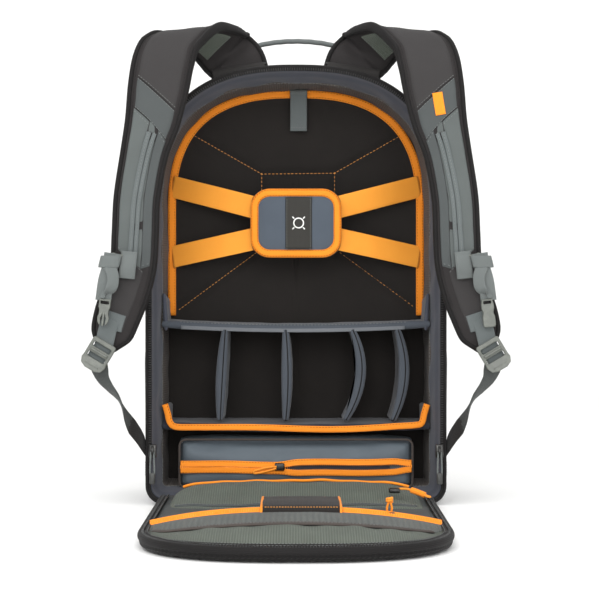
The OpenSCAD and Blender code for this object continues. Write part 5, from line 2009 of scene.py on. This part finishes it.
    def panels(self) -> None:
        """The strap's panels: dark top, slanted grey piece, two long panels by the rail, dark tip."""
        s = self.share
        seam_a = (s(436.0), s(466.0))
        seam_b = (s(406.0), s(434.0))
        low = (s(262.0), s(282.0))
        self.panel("strap_top_left", (0.20, 0.20), seam_a, -0.8, 0.8, STRAP_TOP)
        self.panel("strap_slant_left", seam_a, seam_b, -0.8, 0.8, STRAP_LEAF, 1.1)
        mid = 0.06
        self.panel("strap_outer_panel_left", (seam_b[0] + 0.55 * (seam_b[1] - seam_b[0]), seam_b[1]),
                   (low[0], low[1]), mid, 0.8, STRAP_GREY, 0.9)
        self.panel("strap_inner_panel_left", (seam_b[0], seam_b[0] + 0.45 * (seam_b[1] - seam_b[0])),
                   (low[0] - 0.01, low[0]), -0.8, -0.34, STRAP_LEAF, 0.9)
        self.panel("strap_rail_ground_left", seam_b, (low[0], low[0]), -0.37, 0.09, STRAP_GREY, 0.3,
                   seams=False)
        self.panel("strap_tip_left", (low[0], low[1]), (0.955, 0.955), -0.56, 0.7, STRAP_TOP, 0.6)
        self.panel("strap_arch_mesh_left", (0.105, 0.085), (0.24, 0.24), -0.74, 0.74, MESH_GREY, 0.9,
                   front=-1)
        self.panel("strap_back_mesh_left", (0.245, 0.245), (0.95, 0.95), -0.78, 0.78, MESH_BLACK, 0.7,
                   front=-1)

    def rails(self) -> None:
        """Two strips of webbing side by side, sewn down, that the keeper runs on."""
        lo, hi = node_box("strap_rails_left")
        f = np.linspace(self.share(hi[2] - 2), self.share(lo[2] + 2), 110)
        k = (f - f[0]) / (f[-1] - f[0])
        for name, w, width in (("inner", -0.24, 4.6), ("outer", 0.0, 5.2)):
            line = self.at(f, w + 0.22 * k, self.thick / 2 + 1.6 + 0 * f)
            side = self.read_side(f)
            self.put(sweep(f"strap_rail_{name}_left", line, side, width, 1.7, power=3.5), RAIL_GREY, "strap",
                     ["strap_rails"] if name == "inner" else [])
            n = -self.read_up(line)
            self.put(stitches(f"strap_rail_stitches_{name}_left", line + n * 0.85, n, 3.4, 2.4, 0.6),
                     THREAD_GREY, "strap")

    def read_side(self, f: Array) -> Array:
        """The strap's width direction at shares of its length."""
        k = np.linspace(0, 1, self.samples)
        return np.stack([np.interp(f, k, self.side[:, c]) for c in range(3)], -1)

    def label(self) -> None:
        """A small plain woven label on the right strap, without lettering."""
        f = np.linspace(self.share(452.0), self.share(428.0), 14)
        w = 0.08 + 0 * f
        line = self.at(f, w, self.thick / 2 + 1.7 + 0 * f)
        piece = sweep("strap_label_left", line, self.read_side(f), 11.0, 0.9, power=8)
        other = twin(piece, "strap_label_right")
        bpy.data.objects.remove(piece)
        dress(other, ORANGE_TAPE, "strap_right")

    def keeper(self) -> None:
        """The folded webbing keeper on the rail, with a moulded hook for the chest strap."""
        lo, hi = node_box("sternum_slider_left")
        x0, x1 = lo[0] + 15.5, hi[0] + 1.0
        mid_x = (x0 + x1) / 2
        front = hi[1] - 0.3
        z = np.linspace(lo[2] - 4, hi[2], 30)
        k = (z - z[0]) / (z[-1] - z[0])
        line = xyz(mid_x - 2.5 + 3 * k, front - 3.6 - 2.0 * np.sin(math.pi * np.clip(k * 1.15, 0, 1)), z)
        self.put(sweep("sternum_keeper_left", line, [1, 0, 0.05], x1 - x0, 3.0, count=18, power=WEB_EDGE),
                 WEB_GREY, "sternum_slider", ["sternum_slider"])
        under = line[6:22] + [0, 2.6, 0]
        self.put(sweep("sternum_keeper_back_left", under, [1, 0, 0.05], x1 - x0 - 1, 1.8, power=WEB_EDGE),
                 WEB_GREY, "sternum_slider")
        for name, dx in (("a", -(x1 - x0) / 2 + 2.2), ("b", (x1 - x0) / 2 - 2.2)):
            self.put(stitches(f"sternum_keeper_stitches_{name}_left", line[4:-4] + [dx, -1.6, 0],
                              [0, -1, 0], 2.6, 1.9, 0.7), THREAD_GREY, "sternum_slider")
        hook = spline([[x0 + 2, front - 4, hi[2] - 5], [x0 - 5, front - 5, hi[2] - 4],
                       [lo[0] + 7, front - 6, hi[2] - 3], [lo[0] + 2, front - 6, hi[2] - 8],
                       [lo[0] + 4, front - 6, lo[2] + 11], [x0 - 4, front - 5, lo[2] + 12]], 60)
        self.put(rope("sternum_hook_left", hook, 3.2, count=12), ACETAL, "sternum_slider")

    def chest(self) -> None:
        """The chest strap's half: looped webbing from the hook, and a side-release buckle half."""
        lo, hi = node_box("sternum_buckle_left")
        mid_x = (lo[0] + hi[0]) / 2
        y = (lo[1] + hi[1]) / 2
        fold = spline([[mid_x + 8, y + 1.5, hi[2]], [mid_x + 6, y + 0.8, hi[2] - 13],
                       [mid_x + 1.5, y - 1.0, hi[2] - 30], [mid_x - 1.5, y - 0.6, lo[2] + 30]], 60)
        self.put(sweep("chest_webbing_left", fold, [1, 0.1, 0.35], 17, 2.0, power=WEB_EDGE), WEB_GREY,
                 "sternum_buckle", ["sternum_buckle"])
        loop = spline([[mid_x + 5, y - 1.4, hi[2] - 14], [mid_x + 9, y - 3.2, hi[2] - 24],
                       [mid_x + 8, y - 3.6, hi[2] - 36], [mid_x + 2, y - 2.8, hi[2] - 43],
                       [mid_x - 3, y - 1.8, hi[2] - 42]], 50)
        self.put(sweep("chest_webbing_tail_left", loop, [0.9, 0.25, 0.45], 13, 1.8, power=WEB_EDGE), WEB_GREY,
                 "sternum_buckle")
        a = np.linspace(0, TAU, 40, endpoint=False)
        wrap = xyz(mid_x + 5.5 + 10.5 * np.cos(a), y + 0.6 + 3.0 * np.sin(a), hi[2] - 9.0)
        self.put(sweep("chest_wrap_left", wrap, [0.25, 0, 1], 13, 1.6, closed=True, power=WEB_EDGE), WEB_GREY,
                 "sternum_buckle")

        def place(p: Array) -> Array:
            a = -0.12
            c, s = math.cos(a), math.sin(a)
            return xyz(mid_x - 1 + 0.78 * p[:, 0] * c - p[:, 1] * s, y - p[:, 2],
                       (lo[2] + 17) + 0.78 * p[:, 0] * s + p[:, 1] * c)

        outline = np.array([[-8, 15], [8, 15], [8, 6], [6.6, 3], [6.6, -2], [8.2, -5], [7.2, -10],
                            [4.8, -13], [3.2, -13], [3.6, -6], [1.6, -1.5], [1.6, -12], [0.8, -14.5],
                            [-0.8, -14.5], [-1.6, -12], [-1.6, -1.5], [-3.6, -6], [-3.2, -13], [-4.8, -13],
                            [-7.2, -10], [-8.2, -5], [-6.6, -2], [-6.6, 3], [-8, 6]])
        slots = [oval(11.5, 3.2, 1.0) + [0, 11.0]]
        male = plate("chest_buckle_left", outline, slots, -3.2, 2.6, 0.8, place)
        dress(male, ACETAL, "sternum_buckle_left", ["sternum_buckle_left"])
        shell = np.array([[-7, 15], [7, 15], [8.6, 9], [8.6, 4.5], [7.0, 0], [8.6, -4.5], [8.6, -13],
                          [7.2, -15.5], [-7.2, -15.5], [-8.6, -13], [-8.6, -4.5], [-7.0, 0], [-8.6, 4.5],
                          [-8.6, 9]])
        female = plate("chest_socket_left", shell, [oval(10.5, 3.0, 1.0) + [0, 11.2]], -3.8, 3.2, 1.0, place)
        other = twin(female, "chest_socket_right")
        bpy.data.objects.remove(female)
        dress(other, ACETAL, "sternum_buckle_right", ["sternum_buckle_right"])

    def lock(self) -> None:
        """The ladder lock at the strap's tip: frame, two slots, cross bar and a curved lower lip."""
        lo, hi = node_box("ladder_lock_left")
        mid = (lo + hi) / 2
        a = math.radians(-31)
        c, s = math.cos(a), math.sin(a)

        def place(p: Array) -> Array:
            curl = 2.2 * np.clip((-p[:, 1] - 9) / 8, 0, 1) ** 2
            return xyz(mid[0] + p[:, 0] * c - p[:, 1] * s, mid[1] - p[:, 2] - curl,
                       mid[2] + p[:, 0] * s + p[:, 1] * c)

        outline = np.array([[-12.5, 16], [12.5, 16], [13.8, 14], [13.8, -6], [14.4, -10], [12.0, -15.5],
                            [6, -18.2], [-6, -18.2], [-12.0, -15.5], [-14.4, -10], [-13.8, -6],
                            [-13.8, 14]])
        slots = [oval(21, 5.4, 1.6) + [0, 8.4], oval(21, 5.4, 1.6) + [0, -3.4]]
        self.put(plate("ladder_frame_left", outline, slots, -2.6, 2.6, 1.1, place), ACETAL, "ladder_lock",
                 ["ladder_lock"])
        bar = place(np.array([[x, 2.5, 2.6] for x in np.linspace(-10.5, 10.5, 12)]))
        self.put(rope("ladder_bar_left", bar, 3.4, count=12), ACETAL, "ladder_lock")
        ribs = place(np.array([[x, -13.5, 2.6] for x in np.linspace(-8, 8, 10)]))
        self.put(rope("ladder_rib_left", ribs, 1.8, count=10), ACETAL, "ladder_lock")
        tab_lo, tab_hi = node_box("lock_tab_left")
        top = np.array([(tab_lo[0] + tab_hi[0]) / 2 + 4, tab_hi[1] - 0.8, tab_hi[2] + 8])
        down = place(np.array([[0, 11.0, -3.6], [0, 3.0, -4.0], [0, -8.0, -4.2]]))
        path = spline(np.vstack([top, top - [4, 1.4, 10], down]), 40)
        self.put(sweep("lock_webbing_left", path, [c, 0, s], 20, 2.0, power=WEB_EDGE), RAIL_GREY, "strap",
                 ["lock_tab"])
        patch = self.at(np.linspace(self.share(214.0), self.share(196.0), 16), np.full(16, 0.1),
                        np.full(16, self.thick / 2 + 0.9))
        self.put(sweep("lock_patch_left", patch, [c, 0, s], 24, 1.6, power=TAPE_EDGE), RAIL_GREY, "strap")

    def webbing(self) -> None:
        """The lower webbing from the ladder lock to the bag: black webbing, painted grey as painted light on
        its upper part, then twisted over to its own black.
        """
        points = np.array([[-213, -158, 158], [-211, -152, 148], [-206, -150, 138], [-198, -144, 127],
                           [-191, -136, 115], [-187, -126, 102], [-181, -114, 89], [-174, -102, 77],
                           [-169.5, -90, 66], [-167.2, -80, 56], [-167.2, -78, 44]])
        path = spline(points, 200)
        t = along(path)
        flat = unit(np.array([0.93, 0, 0.36]) - t * (t @ np.array([0.93, 0, 0.36]))[:, None])
        high = np.cross(t, flat)
        k = np.linspace(0, 1, 200)
        turn = np.radians(np.interp(k, [0, 0.12, 0.25, 0.42, 0.6, 0.8, 1.0],
                                    [10, 44, 58, 96, 124, 112, 84]))[:, None]
        side = flat * np.cos(turn) + high * np.sin(turn)
        # One black webbing: its upper part takes the paler copy, painted light where it faces the lamps.
        for name, part, finish in (("upper", slice(0, 112), WEB_BLACK_LIT),
                                   ("lower", slice(108, 200), WEB_BLACK)):
            piece = sweep(f"lower_webbing_{name}_left", path[part], side[part],
                          19.5 - 0.2 * (name == "lower"), 2.0, count=18, power=WEB_EDGE,
                          dent=lambda r, a: 0.2 * np.sin(a / 1.7))
            other = twin(piece, f"lower_webbing_{name}_right")
            for p, word, mirror in ((piece, "left", 1), (other, "right", -1)):
                p.data.materials.append(finish.material())
                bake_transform(p)
                if name == "upper":
                    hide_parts("lower_webbing_" + word)
        for word, s in SIDES:
            lo, hi = node_box(f"web_anchor_{word}")
            block = rounded_block(f"anchor_tab_{word}", [lo[0] + (0.4 if s < 0 else -2.0), lo[1], lo[2]],
                                  [hi[0] + (2.0 if s < 0 else -0.4), hi[1], hi[2]], 1.2, 3)
            dress(block, SHELL_PATCH, "bag", [f"web_anchor_{word}"])
            x = lo[0] - 0.1 if s < 0 else hi[0] + 0.1
            y0, y1, z0, z1 = lo[1] + 3, hi[1] - 3, lo[2] + 3, hi[2] - 3
            tack = np.array([[x, y0, z0], [x, y1, z0], [x, y1, z1], [x, y0, z1], [x, y0, z0]])
            dress(stitches(f"anchor_stitches_{word}", tack, [s, 0, 0], 2.6, 1.9, 0.7), THREAD_GREY, "bag")

    def roots(self) -> None:
        """The sewn roots on the bag's top that the straps rise from."""
        for word in ("left", "right"):
            lo, hi = node_box(f"strap_root_{word}")
            x = np.linspace(lo[0] + 0.5, hi[0] - 0.5, 30)
            top = np.interp(np.abs(x), [34, 94], [hi[2] - 3.5, lo[2] + 11])
            line = xyz(x, (lo[1] + hi[1]) / 2, top - 1.5)
            piece = sweep(f"strap_root_cover_{word}", line, [0, 1, 0], hi[1] - lo[1], 15, count=24, power=2.6)
            dress(piece, SHELL_PATCH, "bag", [f"strap_root_{word}"])
            edge = line + [0, -(hi[1] - lo[1]) / 2 + 3, 5.2]
            dress(stitches(f"strap_root_stitches_{word}", edge, [0, -0.4, 1], 3.2, 2.3, 0.7), THREAD_GREY,
                  "bag")

    def build(self) -> None:
        """Build both straps and what they carry."""
        for step in (self.roots, self.pad, self.panels, self.rails, self.label, self.keeper, self.chest,
                     self.lock, self.webbing):
            step()
            LOG.info("straps: %s", step.__name__)


# ---------------------------------------------------------------- studio
# Lamps: name, place and aim in metres, side in metres, watts.
LAMPS = (
    ("key", (-1.5, -2.1, 1.8), (0, -0.1, 0.25), 1.8, 22.0),
    ("fill", (1.9, -1.9, 1.1), (0, -0.1, 0.25), 1.8, 12.0),
    ("top", (0.0, -0.5, 2.3), (0, 0.0, 0.2), 2.2, 22.0),
    ("front", (0.0, -3.2, 0.9), (0, 0.0, 0.25), 2.0, 62.0),
)


@dataclass(frozen=True)
class Studio:
    """Camera level with the bag, pale floor and large soft lamps. Metres."""

    camera: tuple[float, float, float] = (0.0, -2.295, 0.248)
    down_deg: float = 0.52
    lens_mm: float = 118.8
    film_mm: float = 36.0
    far_clip: float = 50.0
    shift_x: float = 0.0067
    surround: float = 0.72
    paper: str = "#fbfbfa"
    floor_half_mm: float = 12000.0
    floor_front_mm: float = -9000.0
    bend_from_mm: float = 1800.0
    bend_mm: float = 900.0
    wall_top_mm: float = 4200.0
    under_mm: float = 0.3

    def floor(self) -> None:
        """A pale floor that curves up into a backdrop."""
        bend = np.linspace(0.1, math.pi / 2, 14)
        flat = np.linspace(self.floor_front_mm, self.bend_from_mm, 12)
        y = np.concatenate([flat, self.bend_from_mm + self.bend_mm * np.sin(bend)])
        z = np.concatenate([0 * flat, self.bend_mm - self.bend_mm * np.cos(bend)])
        y = np.append(y, y[-1])
        z = np.append(z, self.wall_top_mm)
        x = np.linspace(-self.floor_half_mm, self.floor_half_mm, 6)
        pts = xyz(x[:, None], y, z - self.under_mm)
        piece = grid_piece("studio_floor", pts)
        mat = blank_material("studio paper")
        principled(mat.node_tree, {"Base Color": linear(self.paper), "Roughness": 0.9})
        piece.data.materials.append(mat)

    def lamps(self) -> None:
        """A key high on the left, a fill on the right, one overhead and a broad one in front."""
        for name, place, aim, size, watts in LAMPS:
            lamp = bpy.data.lights.new(name, "AREA")
            lamp.shape = "SQUARE"
            lamp.size = size
            lamp.energy = watts
            obj = bpy.data.objects.new(name + "_lamp", lamp)
            obj.location = place
            way = Vector(aim) - Vector(place)
            obj.rotation_euler = way.to_track_quat("-Z", "Y").to_euler()
            bpy.context.scene.collection.objects.link(obj)

    def world(self) -> None:
        """A near-white surround."""
        world = bpy.data.worlds.new("studio")
        bpy.context.scene.world = world
        world.use_nodes = True
        glow = world.node_tree.nodes["Background"]
        glow.inputs["Color"].default_value = (1.0, 1.0, 1.0, 1.0)
        glow.inputs["Strength"].default_value = self.surround
        view = bpy.context.scene.view_settings
        view.view_transform = "Standard"

    def view(self) -> None:
        """The camera, level with the middle of the bag."""
        cam = bpy.data.cameras.new("camera")
        cam.lens = self.lens_mm
        cam.sensor_width = self.film_mm
        cam.shift_x = self.shift_x
        cam.clip_end = self.far_clip
        obj = bpy.data.objects.new("camera", cam)
        obj.location = self.camera
        obj.rotation_euler = (math.radians(90 - self.down_deg), 0.0, 0.0)
        bpy.context.scene.collection.objects.link(obj)
        bpy.context.scene.camera = obj

    def build(self) -> None:
        """Build the studio."""
        self.floor()
        self.lamps()
        self.world()
        self.view()


def main() -> None:
    """Build every sub-assembly on the frame and finish."""
    logging.basicConfig(level=logging.INFO, format="%(name)s: %(message)s")
    for part in (Bag(), Insert(), Pouch(), Harness(), Door(), Strap(), Studio()):
        part.build()
    bpy.context.view_layer.update()


if __name__ == "__main__":
    main()
